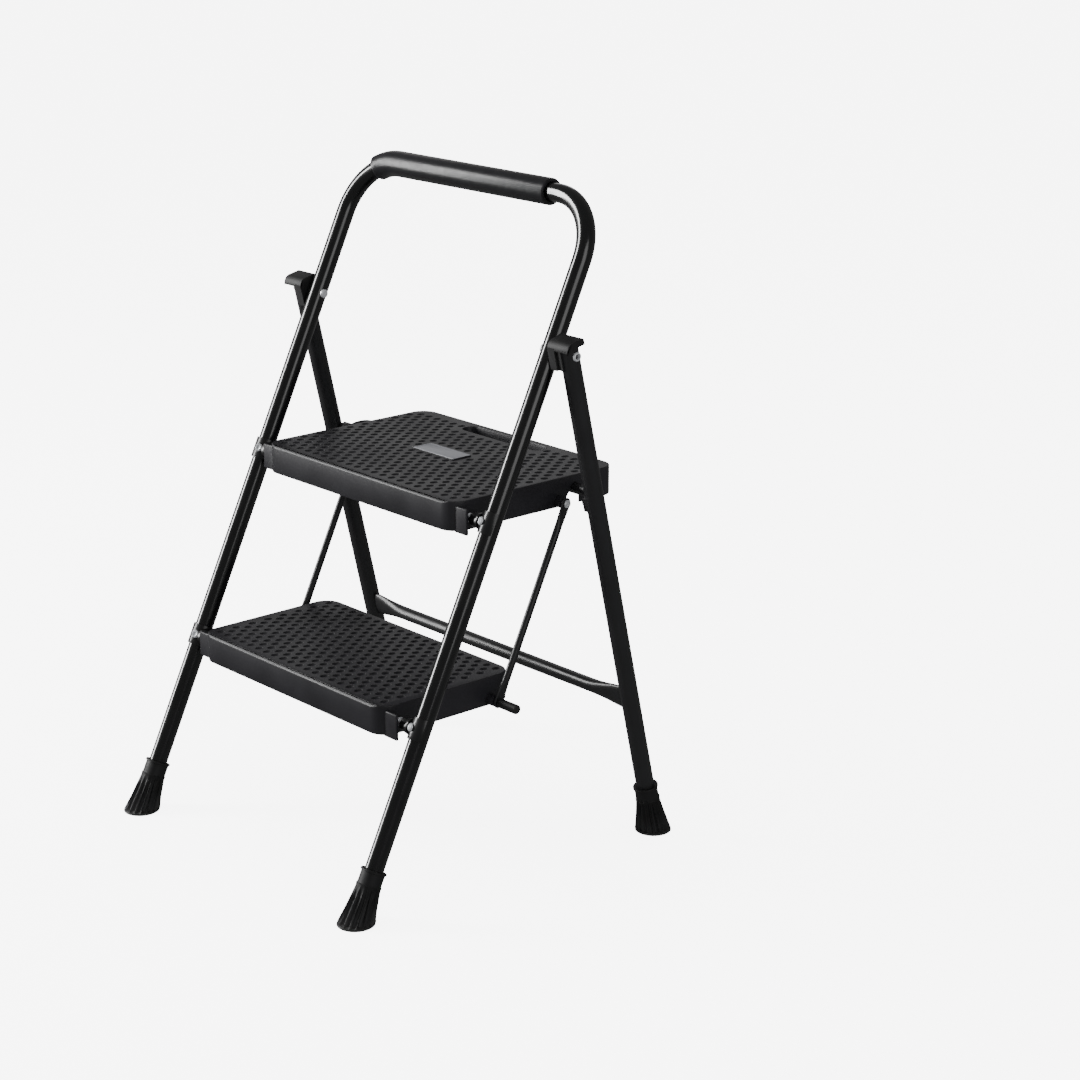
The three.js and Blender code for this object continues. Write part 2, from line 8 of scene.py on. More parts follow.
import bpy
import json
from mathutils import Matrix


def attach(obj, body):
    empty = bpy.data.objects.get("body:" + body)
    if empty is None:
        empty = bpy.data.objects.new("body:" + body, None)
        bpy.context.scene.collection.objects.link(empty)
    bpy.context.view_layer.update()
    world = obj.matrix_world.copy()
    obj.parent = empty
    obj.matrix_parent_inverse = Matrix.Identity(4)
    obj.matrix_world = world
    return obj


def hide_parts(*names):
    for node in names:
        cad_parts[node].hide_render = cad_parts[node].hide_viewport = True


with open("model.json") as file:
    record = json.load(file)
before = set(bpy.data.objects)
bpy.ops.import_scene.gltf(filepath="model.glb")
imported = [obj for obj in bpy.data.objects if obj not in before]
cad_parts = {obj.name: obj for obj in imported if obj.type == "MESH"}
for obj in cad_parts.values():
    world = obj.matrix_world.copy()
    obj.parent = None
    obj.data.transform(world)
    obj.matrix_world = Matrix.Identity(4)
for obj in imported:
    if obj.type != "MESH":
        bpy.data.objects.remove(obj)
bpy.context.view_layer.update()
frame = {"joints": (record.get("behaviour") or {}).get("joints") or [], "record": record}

# %% [markdown]
# ## Places and axes
#
# The joints and the soles in the record say where the legs stand and how far they lean. Five sets of
# axes come from them. Sizes below are in millimetres, because that is how such a stool is drawn.

# %% Places from the record
import json
import math

import bmesh
import bpy
from mathutils import Matrix, Vector

MM = 0.001
joint_at = {joint["name"]: Vector(joint["pos_m"]) for joint in frame["joints"]}
sole_at = {mount["name"]: Vector(mount["pos_m"]) for mount in frame["record"]["mounts"]}
front_foot = sole_at["front_right_sole"]
rear_foot = sole_at["rear_right_sole"]
leg_pivot = joint_at["rear_frame_fold"]
front_lean = math.atan2(leg_pivot.y - front_foot.y, leg_pivot.z)
rear_lean = math.atan2(rear_foot.y - leg_pivot.y, leg_pivot.z)
print("front legs lean", round(math.degrees(front_lean), 2), "degrees, rear legs",
      round(math.degrees(rear_lean), 2))


def axes_at(place, lean=0.0):
    """Axes at a place on the middle plane, with Z leaning back from upright by an angle."""
    return Matrix.Translation((0, place.y, place.z)) @ Matrix.Rotation(-lean, 4, "X")


front_axes = axes_at(front_foot, front_lean)
rear_axes = axes_at(leg_pivot, -rear_lean)
upper_axes = axes_at(joint_at["upper_step_fold"])
lower_axes = axes_at(joint_at["lower_step_fold"])
link_axes = axes_at(joint_at["link_left_swing"], front_lean)

# %% [markdown]
# ## Modelling helpers
#
# Most of the stool is round bar and tube, so two helpers do most of the work. `turned` stacks rings
# along Z by extruding and scaling, as on a lathe. `tube` drags a ring along straights and spins it
# round bends. `prism` traces an outline by extruding one point and then gives it a width.

# %% Selecting and finishing
def deselect_all():
    bpy.ops.object.select_all(action="DESELECT")


def select_only(piece):
    deselect_all()
    piece.select_set(True)
    bpy.context.view_layer.objects.active = piece


def edit(piece):
    select_only(piece)
    bpy.ops.object.mode_set(mode="EDIT")


def leave_edit():
    bpy.ops.object.mode_set(mode="OBJECT")


def take_all():
    bpy.ops.mesh.select_all(action="SELECT")


def extrude(step):
    """Extrudes what is selected by a step in metres."""
    bpy.ops.mesh.extrude_region_move(TRANSFORM_OT_translate={"value": step})


def pick(piece, kind, test):
    """Selects what passes a test of its place: vertices, or edges and faces by all their vertices."""
    tools = bpy.context.tool_settings
    tools.mesh_select_mode = (kind == "VERT", kind == "EDGE", kind == "FACE")
    bpy.ops.mesh.select_all(action="DESELECT")
    mesh = bmesh.from_edit_mesh(piece.data)
    found = {"VERT": mesh.verts, "EDGE": mesh.edges, "FACE": mesh.faces}[kind]
    for item in found:
        corners = [item] if kind == "VERT" else item.verts
        if test([corner.co / MM for corner in corners]):
            item.select_set(True)
    mesh.select_flush_mode()
    bmesh.update_edit_mesh(piece.data)


def close(piece):
    """Caps open ends, merges doubles, turns the faces outward and leaves edit mode."""
    bpy.context.tool_settings.mesh_select_mode = (True, False, False)
    take_all()
    bpy.ops.mesh.fill_holes(sides=0)
    take_all()
    bpy.ops.mesh.remove_doubles(threshold=1e-6)
    bpy.ops.mesh.normals_make_consistent(inside=False)
    leave_edit()
    settle(piece)
    return piece


def settle(piece, axes=None):
    """Moves a piece into other axes, if given, and puts its place into its mesh."""
    if axes is not None:
        piece.matrix_world = axes @ piece.matrix_world
    select_only(piece)
    bpy.ops.object.transform_apply(location=True, rotation=True, scale=True)
    return piece


def named(piece, name):
    piece.name = name
    piece.data.name = name
    return piece


# %% Turned pieces, tubes and prisms
def turned(name, rings, sides=32):
    """A closed round piece along Z. A ring is (height, radius) or (height, half X, half Y)."""
    rings = [(ring[0], ring[1], ring[-1]) for ring in rings]
    height, wide, deep = rings[0]
    deselect_all()
    bpy.ops.mesh.primitive_circle_add(vertices=sides, radius=MM, location=(0, 0, 0))
    piece = named(bpy.context.object, name)
    bpy.ops.object.mode_set(mode="EDIT")
    take_all()
    bpy.ops.transform.resize(value=(wide, deep, 1), center_override=(0, 0, 0))
    bpy.ops.transform.translate(value=(0, 0, height * MM))
    for (z0, x0, y0), (z1, x1, y1) in zip(rings, rings[1:]):
        extrude((0, 0, (z1 - z0) * MM))
        bpy.ops.transform.resize(value=(x1 / x0, y1 / y0, 1), center_override=(0, 0, z1 * MM))
    return close(piece)


def bar(name, radius, length):
    return turned(name, [(0, radius), (length, radius)])


BEND_STEP = 5


def drag_ring(name, radius, start, heading, moves, sides):
    """An open tube: ("go", length) drags its ring on, ("bend", degrees, radius, axis) spins it."""
    place = Vector(start) * MM
    heading = Vector(heading).normalized()
    deselect_all()
    bpy.ops.mesh.primitive_circle_add(
        vertices=sides, radius=radius * MM, location=(0, 0, 0),
        rotation=heading.to_track_quat("Z", "Y").to_euler(),
    )
    piece = settle(named(bpy.context.object, name), Matrix.Translation(place))
    bpy.ops.object.mode_set(mode="EDIT")
    take_all()
    for move in moves:
        if move[0] == "go":
            step = heading * move[1] * MM
            extrude(step)
            place = place + step
        else:
            angle = math.radians(move[1])
            axis = Vector(move[3])
            centre = place - heading.cross(axis) * move[2] * MM
            # Blender's spin turns clockwise about its axis, so the angle changes sign.
            steps = max(2, round(move[1] / BEND_STEP))
            bpy.ops.mesh.spin(steps=steps, angle=-angle, center=centre, axis=axis)
            turn = Matrix.Rotation(angle, 3, axis)
            place = centre + turn @ (place - centre)
            heading = turn @ heading
    return piece


def tube(name, radius, start, heading, moves, sides):
    return close(drag_ring(name, radius, start, heading, moves, sides))


def prism(name, outline, x0, x1):
    """An outline of (y, z) points, traced point by point and stretched along X from x0 to x1."""
    deselect_all()
    bpy.ops.mesh.primitive_plane_add(size=MM, location=(0, 0, 0))
    piece = named(bpy.context.object, name)
    bpy.ops.object.mode_set(mode="EDIT")
    bpy.context.tool_settings.mesh_select_mode = (True, False, False)
    take_all()
    bpy.ops.mesh.merge(type="CENTER")
    take_all()
    bpy.ops.transform.translate(value=(x0 * MM, outline[0][0] * MM, outline[0][1] * MM))
    for (y0, z0), (y1, z1) in zip(outline, outline[1:]):
        extrude((0, (y1 - y0) * MM, (z1 - z0) * MM))
    take_all()
    bpy.ops.mesh.edge_face_add()
    extrude(((x1 - x0) * MM, 0, 0))
    return close(piece)


def slab(name, low, high):
    """A box between two corners, in millimetres."""
    low, high = Vector(low) * MM, Vector(high) * MM
    deselect_all()
    bpy.ops.mesh.primitive_cube_add(size=1, location=(low + high) / 2, scale=high - low)
    return settle(named(bpy.context.object, name))


def arc(y, z, radius, start, end, steps=8):
    """Points (y, z) on an arc, from one angle to another, in degrees."""
    angles = [math.radians(start + (end - start) * step / steps) for step in range(steps + 1)]
    return [(y + radius * math.cos(a), z + radius * math.sin(a)) for a in angles]


# %% Cutting, joining and mirroring
def with_modifier(piece, kind, **settings):
    """Adds one modifier with its settings and applies it."""
    select_only(piece)
    modifier = piece.modifiers.new(kind.title(), kind)
    for setting, value in settings.items():
        setattr(modifier, setting, value)
    bpy.ops.object.modifier_apply(modifier=modifier.name)
    return piece


def combine(piece, tools, operation):
    """Adds or cuts other closed shapes and removes them afterwards."""
    for tool in tools:
        before = len(piece.data.polygons)
        with_modifier(piece, "BOOLEAN", operation=operation, solver="MANIFOLD", object=tool)
        if len(piece.data.polygons) == before:
            print("no change from", tool.name, "on", piece.name)
        bpy.data.objects.remove(tool)
    return piece


def join_up(pieces):
    deselect_all()
    for piece in pieces:
        piece.select_set(True)
    bpy.context.view_layer.objects.active = pieces[0]
    bpy.ops.object.join()
    return pieces[0]


def soften(piece, width, segments, angle=38):
    """Rounds the sharp edges of a moulded or pressed part."""
    return with_modifier(
        piece, "BEVEL", width=width * MM, segments=segments, limit_method="ANGLE",
        angle_limit=math.radians(angle), use_clamp_overlap=True,
    )


def mirrored(piece, name):
    """The same part for the other side, with its own mesh."""
    twin = piece.copy()
    twin.data = piece.data.copy()
    bpy.context.scene.collection.objects.link(twin)
    named(twin, name)
    twin.scale.x = -1
    settle(twin)
    edit(twin)
    take_all()
    bpy.ops.mesh.normals_make_consistent(inside=False)
    leave_edit()
    return twin


def both_sides(piece):
    """Names the right-hand piece and returns it with its mirror image on the left."""
    plain = piece.name
    return [("right", named(piece, plain + "_right")), ("left", mirrored(piece, plain + "_left"))]


# %% Handing a piece over to the frame
# Faces that meet at less than this many degrees are shaded as one surface.
SMOOTH_BELOW = 32


def hand_over(piece, finish, slot, body, *nodes):
    """Smooths a finished piece, gives it its finish and puts it on its body."""
    select_only(piece)
    bpy.ops.object.shade_smooth_by_angle(angle=math.radians(SMOOTH_BELOW))
    piece.data.materials.clear()
    piece.data.materials.append(finish)
    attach(piece, body)
    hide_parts(*nodes)
    checked = bmesh.new()
    checked.from_mesh(piece.data)
    loose = sum(not edge.is_manifold for edge in checked.edges)
    print(f"{piece.name}: {len(checked.faces)} faces, {loose} open edges,",
          f"{checked.calc_volume(signed=True) * 1e6:.1f} cm3")
    checked.free()


def hand_over_pair(piece, axes, finish, slot, body, node):
    """Hands over a right-hand piece and its mirror image. A body's {side} is filled in."""
    for side, half in both_sides(settle(piece, axes)):
        hand_over(half, finish, slot, body.format(side=side), f"{node}_{side}")


# %% [markdown]
# ## Finishes
#
# A colour is written as the sRGB hex value that a paint chart would give, and one function turns it
# into the linear values the shader works in. `add_node` adds any node with its settings and links.

# %% Material helpers
def linear(hex_colour, alpha=1.0):
    """sRGB hex to a linear colour."""
    parts = [int(hex_colour[i:i + 2], 16) / 255 for i in (1, 3, 5)]
    return [p / 12.92 if p <= 0.04045 else ((p + 0.055) / 1.055) ** 2.4 for p in parts] + [alpha]


def add_node(tree, kind, settings=None, values=None, links=None):
    """Adds a node. A link's source is a socket, or a node that stands for its first output."""
    made = tree.nodes.new(kind)
    for name, value in (settings or {}).items():
        setattr(made, name, value)
    for socket, value in (values or {}).items():
        made.inputs[socket].default_value = value
    for socket, source in (links or {}).items():
        if isinstance(source, bpy.types.Node):
            source = next(output for output in source.outputs if output.enabled)
        tree.links.new(source, made.inputs[socket])
    return made


def new_finish(name):
    """An empty material, and the Object coordinates that its patterns read."""
    finish = bpy.data.materials.new(name)
    finish.use_nodes = True
    tree = finish.node_tree
    tree.nodes.clear()
    return finish, tree, add_node(tree, "ShaderNodeTexCoord").outputs["Object"]


def per(grain_mm):
    """The Scale that gives a pattern lumps of this many millimetres."""
    return 1 / (grain_mm * MM)


# Noise stays mostly between these two values, so Map Range starts from them.
NOISE_SPAN = {"From Min": 0.3, "From Max": 0.7}

# %% [markdown]
# ### Steel under powder coat
#
# The tubes are mild steel with an epoxy-polyester powder coat, baked until it flows. The front frame
# is glossy, so a softbox runs down it as one thin line. The flow leaves an orange peel of waves about
# 3 mm apart and a few hundredths deep, which makes that line waver. The rear legs, the crossbars and
# the links have a satin coat of the same black. Dust and fingers dull the coat in faint clouds.

# %% Powder coat
def powder_coat(name, dark, light, roughness, coat, peel_mm):
    finish, tree, place = new_finish(name)
    cloud = add_node(
        tree, "ShaderNodeTexNoise", values={"Scale": per(45), "Detail": 4.0}, links={"Vector": place},
    )
    colour = add_node(
        tree, "ShaderNodeMix", {"data_type": "RGBA"}, {"A": linear(dark), "B": linear(light)},
        {"Factor": cloud},
    )
    rough = add_node(
        tree, "ShaderNodeMapRange",
        values=NOISE_SPAN | {"To Min": roughness - 0.04, "To Max": roughness + 0.06},
        links={"Value": cloud},
    )
    peel = add_node(
        tree, "ShaderNodeTexNoise", values={"Scale": per(peel_mm), "Detail": 1.0},
        links={"Vector": place},
    )
    waves = add_node(
        tree, "ShaderNodeBump", values={"Strength": 1.0, "Distance": 0.025 * MM}, links={"Height": peel},
    )
    shader = add_node(
        tree, "ShaderNodeBsdfPrincipled",
        values={"IOR": 1.5, "Coat Weight": coat, "Coat Roughness": 0.12, "Coat IOR": 1.5},
        links={"Base Color": colour, "Roughness": rough, "Normal": waves},
    )
    add_node(tree, "ShaderNodeOutputMaterial", links={"Surface": shader})
    return finish


gloss_powder_coat = powder_coat("powder_coat_gloss_black", "#040405", "#070708", 0.22, 0.9, 3.2)
satin_powder_coat = powder_coat("powder_coat_satin_black", "#131314", "#1A1A1C", 0.38, 0.08, 2.4)
strap_coat = powder_coat("dip_painted_steel_black", "#0C0C0D", "#141415", 0.32, 0.2, 1.8)
print("powder coats:", gloss_powder_coat.name, satin_powder_coat.name, strap_coat.name)

# %% [markdown]
# ### Moulded plastics
#
# The treads are injection-moulded polypropylene, coloured through in charcoal. The mould is
# spark-eroded, which leaves a fine grain of about 0.4 mm, drawn here at 0.8 mm so that it shows.
# Shoes scuff such a surface a little lighter and duller in broad, faint patches, with small flecks.
# The caps are glass-filled nylon with a smoother face, and the badge is polished in the mould.

# %% Treads, caps and badge
def moulded(name, dark, light, roughness, grain_mm, grain_depth, ior=1.49):
    finish, tree, place = new_finish(name)
    patch = add_node(
        tree, "ShaderNodeTexNoise", values={"Scale": per(70), "Detail": 3.0}, links={"Vector": place},
    )
    fleck = add_node(
        tree, "ShaderNodeTexNoise", values={"Scale": per(1.6), "Detail": 2.0}, links={"Vector": place},
    )
    worn = add_node(
        tree, "ShaderNodeMapRange", values=NOISE_SPAN | {"To Min": 0.0, "To Max": 0.55},
        links={"Value": patch},
    )
    tone = add_node(
        tree, "ShaderNodeMath", {"operation": "MULTIPLY_ADD"}, {1: 0.45}, {0: fleck, 2: worn},
    )
    colour = add_node(
        tree, "ShaderNodeMix", {"data_type": "RGBA"}, {"A": linear(dark), "B": linear(light)},
        {"Factor": tone},
    )
    rough = add_node(
        tree, "ShaderNodeMapRange",
        values=NOISE_SPAN | {"To Min": roughness - 0.04, "To Max": roughness + 0.05},
        links={"Value": patch},
    )
    grain = add_node(
        tree, "ShaderNodeTexNoise",
        values={"Scale": per(grain_mm), "Detail": 2.0, "Roughness": 0.6}, links={"Vector": place},
    )
    texture = add_node(
        tree, "ShaderNodeBump", values={"Strength": 1.0, "Distance": grain_depth * MM},
        links={"Height": grain},
    )
    shader = add_node(
        tree, "ShaderNodeBsdfPrincipled", values={"IOR": ior},
        links={"Base Color": colour, "Roughness": rough, "Normal": texture},
    )
    add_node(tree, "ShaderNodeOutputMaterial", links={"Surface": shader})
    return finish


tread_plastic = moulded("polypropylene_spark_grain_charcoal", "#131216", "#1E1D22", 0.44, 0.8, 0.06)
cap_plastic = moulded("nylon_satin_black", "#0E0E0F", "#161617", 0.58, 0.6, 0.02, 1.53)
badge_plastic = moulded("abs_smooth_grey", "#5E5F64", "#696A6F", 0.32, 1.2, 0.003, 1.53)
print("plastics:", tread_plastic.name, cap_plastic.name, badge_plastic.name)

# %% [markdown]
# ### Foam, rubber and zinc
#
# The grip is closed-cell nitrile foam. Its skin is dull and finely pitted, so it shows one broad,
# soft highlight. The feet are moulded SBR rubber, greyed near the floor by dust. The rivets, pins
# and collars are steel with bright zinc plate. Its whitish bloom scatters some light, so it isn't
# set as fully metallic.

# %% Nitrile foam
def nitrile_foam():
    finish, tree, place = new_finish("nitrile_foam_black")
    pit = add_node(
        tree, "ShaderNodeTexVoronoi", {"feature": "SMOOTH_F1"}, {"Scale": per(1.1)},
        {"Vector": place},
    )
    wave = add_node(
        tree, "ShaderNodeTexNoise", values={"Scale": per(9), "Detail": 2.0}, links={"Vector": place},
    )
    colour = add_node(
        tree, "ShaderNodeMix", {"data_type": "RGBA"}, {"A": linear("#0E0E10"), "B": linear("#18181B")},
        {"Factor": pit},
    )
    rough = add_node(
        tree, "ShaderNodeMapRange", values=NOISE_SPAN | {"To Min": 0.28, "To Max": 0.37},
        links={"Value": wave},
    )
    dents = add_node(
        tree, "ShaderNodeBump", values={"Strength": 1.0, "Distance": 0.15 * MM}, links={"Height": wave},
    )
    pits = add_node(
        tree, "ShaderNodeBump", values={"Strength": 1.0, "Distance": 0.09 * MM},
        links={"Height": pit, "Normal": dents},
    )
    shader = add_node(
        tree, "ShaderNodeBsdfPrincipled",
        values={"IOR": 1.45, "Sheen Weight": 0.03, "Sheen Roughness": 0.5},
        links={"Base Color": colour, "Roughness": rough, "Normal": pits},
    )
    add_node(tree, "ShaderNodeOutputMaterial", links={"Surface": shader})
    return finish


# %% Rubber
def moulded_rubber():
    finish, tree, place = new_finish("sbr_rubber_black")
    height = add_node(tree, "ShaderNodeSeparateXYZ", links={"Vector": place}).outputs["Z"]
    patch = add_node(
        tree, "ShaderNodeTexNoise", values={"Scale": per(12), "Detail": 3.0}, links={"Vector": place},
    )
    # Dust clings to the lowest 30 mm and thins upward.
    near_floor = add_node(
        tree, "ShaderNodeMapRange",
        values={"From Min": 0.0, "From Max": 30 * MM, "To Min": 1.0, "To Max": 0.0},
        links={"Value": height},
    )
    dust = add_node(
        tree, "ShaderNodeMath", {"operation": "MULTIPLY"}, links={0: near_floor, 1: patch},
    )
    colour = add_node(
        tree, "ShaderNodeMix", {"data_type": "RGBA"}, {"A": linear("#0D0D0E"), "B": linear("#242425")},
        {"Factor": dust},
    )
    rough = add_node(
        tree, "ShaderNodeMapRange", values=NOISE_SPAN | {"To Min": 0.52, "To Max": 0.66},
        links={"Value": patch},
    )
    grain = add_node(
        tree, "ShaderNodeTexNoise", values={"Scale": per(0.9), "Detail": 2.0}, links={"Vector": place},
    )
    texture = add_node(
        tree, "ShaderNodeBump", values={"Strength": 1.0, "Distance": 0.05 * MM},
        links={"Height": grain},
    )
    shader = add_node(
        tree, "ShaderNodeBsdfPrincipled", values={"IOR": 1.52},
        links={"Base Color": colour, "Roughness": rough, "Normal": texture},
    )
    add_node(tree, "ShaderNodeOutputMaterial", links={"Surface": shader})
    return finish


# %% Zinc plate
def zinc_plate():
    finish, tree, place = new_finish("zinc_plate_bright")
    bloom = add_node(
        tree, "ShaderNodeTexNoise", values={"Scale": per(3), "Detail": 3.0}, links={"Vector": place},
    )
    colour = add_node(
        tree, "ShaderNodeMix", {"data_type": "RGBA"}, {"A": linear("#BFC2C6"), "B": linear("#E2E4E6")},
        {"Factor": bloom},
    )
    rough = add_node(
        tree, "ShaderNodeMapRange", values=NOISE_SPAN | {"To Min": 0.3, "To Max": 0.45},
        links={"Value": bloom},
    )
    scratch = add_node(
        tree, "ShaderNodeTexNoise", values={"Scale": per(1.4), "Detail": 3.0}, links={"Vector": place},
    )
    texture = add_node(
        tree, "ShaderNodeBump", values={"Strength": 1.0, "Distance": 0.02 * MM},
        links={"Height": scratch},
    )
    shader = add_node(
        tree, "ShaderNodeBsdfPrincipled", values={"Metallic": 0.7},
        links={"Base Color": colour, "Roughness": rough, "Normal": texture},
    )
    add_node(tree, "ShaderNodeOutputMaterial", links={"Surface": shader})
    return finish


foam_finish = nitrile_foam()
rubber_finish = moulded_rubber()
zinc_finish = zinc_plate()
print("other finishes:", foam_finish.name, rubber_finish.name, zinc_finish.name)

# %% [markdown]
# ## Front frame
#
# One 25 mm steel tube is bent twice into a tall U. A ring at the foot of the left leg is dragged up
# the leg, spun through a quarter turn, dragged across, spun again and dragged down.

# %% Front frame tube
TUBE_RADIUS = 12.5
FRONT_HALF_WIDTH = front_foot.x / MM
TUBE_END = 21
BAR_ALONG = 966
BEND_RADIUS = 80
leg_straight = BAR_ALONG - BEND_RADIUS - TUBE_END
bar_straight = 2 * (FRONT_HALF_WIDTH - BEND_RADIUS)
quarter_bend = ("bend", 90, BEND_RADIUS, (0, 1, 0))
frame_tube = tube(
    "front_frame_bent_tube", TUBE_RADIUS, (-FRONT_HALF_WIDTH, 0, TUBE_END), (0, 0, 1),
    [("go", leg_straight), quarter_bend, ("go", bar_straight), quarter_bend, ("go", leg_straight)],
    sides=56,
)
settle(frame_tube, front_axes)
hand_over(frame_tube, gloss_powder_coat, "front_paint", "front_frame", "front_frame_tube")

# %% [markdown]
# ## Foam grip
#
# A foam sleeve is pushed over the bar while it is wet with soapy water, and it stops a little way
# into the left bend. Its wall is about 5 mm thick. The open tube gets that wall from Solidify, and
# the cut ends are rounded, because foam never keeps a sharp edge.

# %% Foam grip
GRIP_RADIUS = 17.9
GRIP_BEND = 30
GRIP_RIGHT_END = 150
GRIP_WALL = 5.2
bend_x = FRONT_HALF_WIDTH - BEND_RADIUS
bend_z = BAR_ALONG - BEND_RADIUS
turn_in = math.radians(90 - GRIP_BEND)
grip_start = (
    -bend_x - BEND_RADIUS * math.cos(turn_in), 0, bend_z + BEND_RADIUS * math.sin(turn_in),
)
grip = drag_ring(
    "handrail_foam_grip", GRIP_RADIUS, grip_start, (math.sin(turn_in), 0, math.cos(turn_in)),
    [("bend", GRIP_BEND, BEND_RADIUS, (0, 1, 0)), ("go", bend_x + GRIP_RIGHT_END)], sides=56,
)
take_all()
bpy.ops.mesh.normals_make_consistent(inside=False)
leave_edit()
with_modifier(grip, "SOLIDIFY", thickness=GRIP_WALL * MM, offset=-1)
soften(grip, 1.6, 3, 60)
settle(grip, front_axes)
hand_over(grip, foam_finish, "grip_foam", "front_frame", "handle_grip")

# %% [markdown]
# ## Rubber feet
#
# Each foot is a rubber boot pushed on the tube. A plain collar with a rolled lip grips the tube, and
# below it the boot flares to a flat round sole. Flutes run down the flare. The rings of the flare
# turn level as they near the floor, so that the sole is flat while the leg leans. One boot is turned
# ring by ring. Then the edge lines between every sixth one are drawn inward, which leaves ribs.

# %% Feet
BOOT_SIDES = 108
FLUTES = 18
SOLE_RADIUS = 25.4
COLLAR_RADIUS = 15.8
COLLAR_LOW = 56
LEDGE = 52
SOLE_BAND = 4
FLUTE_DEPTH = 0.15


def boot(name, lean):
    """A boot at the origin for a leg whose top leans back by an angle."""
    stations = [0.0, 0.8, 3.0, 4.6, 10, 18, 26, 34, 42, 49, LEDGE, LEDGE + 0.7, COLLAR_LOW, 66, 69,
                69.4, 71.4, 72]
    lips = {0.0: -1.4, 0.8: -0.4, LEDGE: 0.9, 69.4: 1.5, 71.4: 1.5, 72: 0.9}
    deselect_all()
    bpy.ops.mesh.primitive_circle_add(vertices=BOOT_SIDES, radius=MM, location=(0, 0, 0))
    piece = named(bpy.context.object, name)
    bpy.ops.object.mode_set(mode="EDIT")
    take_all()
    size, tilt, place = 1.0, 0.0, Vector((0, 0, 0))
    for number, along in enumerate(stations):
        down = max(0.0, 1 - along / COLLAR_LOW)
        radius = COLLAR_RADIUS + (SOLE_RADIUS - COLLAR_RADIUS) * down ** 1.25 + lips.get(along, 0)
        turn = lean * min(along / COLLAR_LOW, 1)
        target = Vector((0, math.sin(lean), math.cos(lean))) * along * MM
        if number:
            extrude(target - place)
        bpy.ops.transform.resize(value=(radius / size,) * 3, center_override=target)
        # Without a window this operator turns the other way, so a lean back is a positive angle.
        bpy.ops.transform.rotate(value=turn - tilt, orient_axis="X", center_override=target)
        size, tilt, place = radius, turn, target
    close(piece)
    return flute(piece, lean)


def flute(piece, lean):
    """Draws the flare inward between thin ribs, deeper towards the sole."""
    edit(piece)
    mesh = bmesh.from_edit_mesh(piece.data)
    for corner in mesh.verts:
        along = corner.co.z / MM / math.cos(lean)
        if not SOLE_BAND < along < LEDGE - 1:
            continue
        axis_point = Vector((0, corner.co.z * math.tan(lean), corner.co.z))
        out = corner.co - axis_point
        turn = math.atan2(out.y, out.x) * FLUTES
        depth = FLUTE_DEPTH * min(1.0, (LEDGE + 3 - along) / 12) * min(1.0, 1.2 - 1.2 * math.cos(turn))
        corner.co = axis_point + out * (1 - depth)
    bmesh.update_edit_mesh(piece.data)
    leave_edit()
    return piece


for end, foot, lean, body in (
    ("front", front_foot, front_lean, "front_frame"), ("rear", rear_foot, -rear_lean, "rear_frame"),
):
    place = Matrix.Translation(foot)
    made = boot(f"{end}_rubber_boot", lean)
    hand_over_pair(made, place, rubber_finish, "foot_rubber", body, f"{end}_foot")

# %% [markdown]
# ## Hinge straps and their rivets
#
# A pressed steel strap is hooked round the front of each leg, held by one domed rivet. A round eye
# stands inboard of it, and the tread's hinge pin turns in that eye. The strap is a small plane spun
# half way round the leg. The pin carries a zinc collar that keeps the tread off the strap.

# %% Straps, strap rivets and hinge pins
STRAP_HEIGHT = 29
STRAP_RADIUS = 14.9
HINGE_FORWARD = 4
EYE_RADIUS = 10
EYE_INNER = 215
RIVET_TURN = 20
PIN_START = 196
PIN_BORE = 4.3
FIT_GAP = 0.3
WRAP_START = 150
turn_along_x = Matrix.Rotation(math.radians(90), 4, "Y")


def along_x(piece, x, y, z):
    """Lays a turned piece along X, with its origin at a place in millimetres."""
    return settle(piece, Matrix.Translation(Vector((x, y, z)) * MM) @ turn_along_x)


def hinge_strap(name, along):
    wall = STRAP_RADIUS - TUBE_RADIUS - FIT_GAP
    deselect_all()
    bpy.ops.mesh.primitive_plane_add(size=MM, location=(0, 0, 0), rotation=(math.pi / 2, 0, 0))
    strap = named(bpy.context.object, name)
    edit(strap)
    take_all()
    bpy.ops.transform.resize(value=(wall, 1, STRAP_HEIGHT), center_override=(0, 0, 0))
    leave_edit()
    settle(strap, Matrix.Translation(((STRAP_RADIUS - wall / 2) * MM, 0, 0)))
    settle(strap, Matrix.Rotation(math.radians(WRAP_START), 4, "Z"))
    edit(strap)
    take_all()
    bpy.ops.mesh.spin(steps=30, angle=-math.pi, center=(0, 0, 0), axis=(0, 0, 1))
    close(strap)
    settle(strap, Matrix.Translation((FRONT_HALF_WIDTH * MM, 0, along * MM)))
    eye_outer = FRONT_HALF_WIDTH - TUBE_RADIUS - 0.4
    eye = turned(name + "_eye", [
        (0, EYE_RADIUS - 2.6), (0.5, EYE_RADIUS - 0.9), (1.4, EYE_RADIUS - 0.2), (3, EYE_RADIUS),
        (8, EYE_RADIUS), (10, EYE_RADIUS + 0.6), (eye_outer - EYE_INNER, EYE_RADIUS + 1.6),
    ])
    along_x(eye, EYE_INNER, -HINGE_FORWARD, along)
    bore = along_x(bar(name + "_bore", PIN_BORE, 14), EYE_INNER - 1, -HINGE_FORWARD, along)
    combine(strap, [eye], "UNION")
    combine(strap, [bore], "DIFFERENCE")
    return soften(strap, 0.5, 2, 50)


def strap_rivet(name, along):
    """A domed head with a thin skirt under it, facing forward and a little inboard."""
    head = turned(name, [
        (13.2, 2.5), (15.1, 2.5), (15.1, 5.4), (15.5, 5.7), (16.4, 5.6), (17.4, 4.9),
        (17.9, 3.9), (17.7, 3.0), (16.5, 2.5), (16.4, 0.3),
    ])
    place = Vector((FRONT_HALF_WIDTH, 0, along)) * MM
    facing = Matrix.Rotation(math.radians(90), 4, "X")
    inboard = Matrix.Rotation(math.radians(-RIVET_TURN), 4, "Z")
    return settle(head, Matrix.Translation(place) @ inboard @ facing)


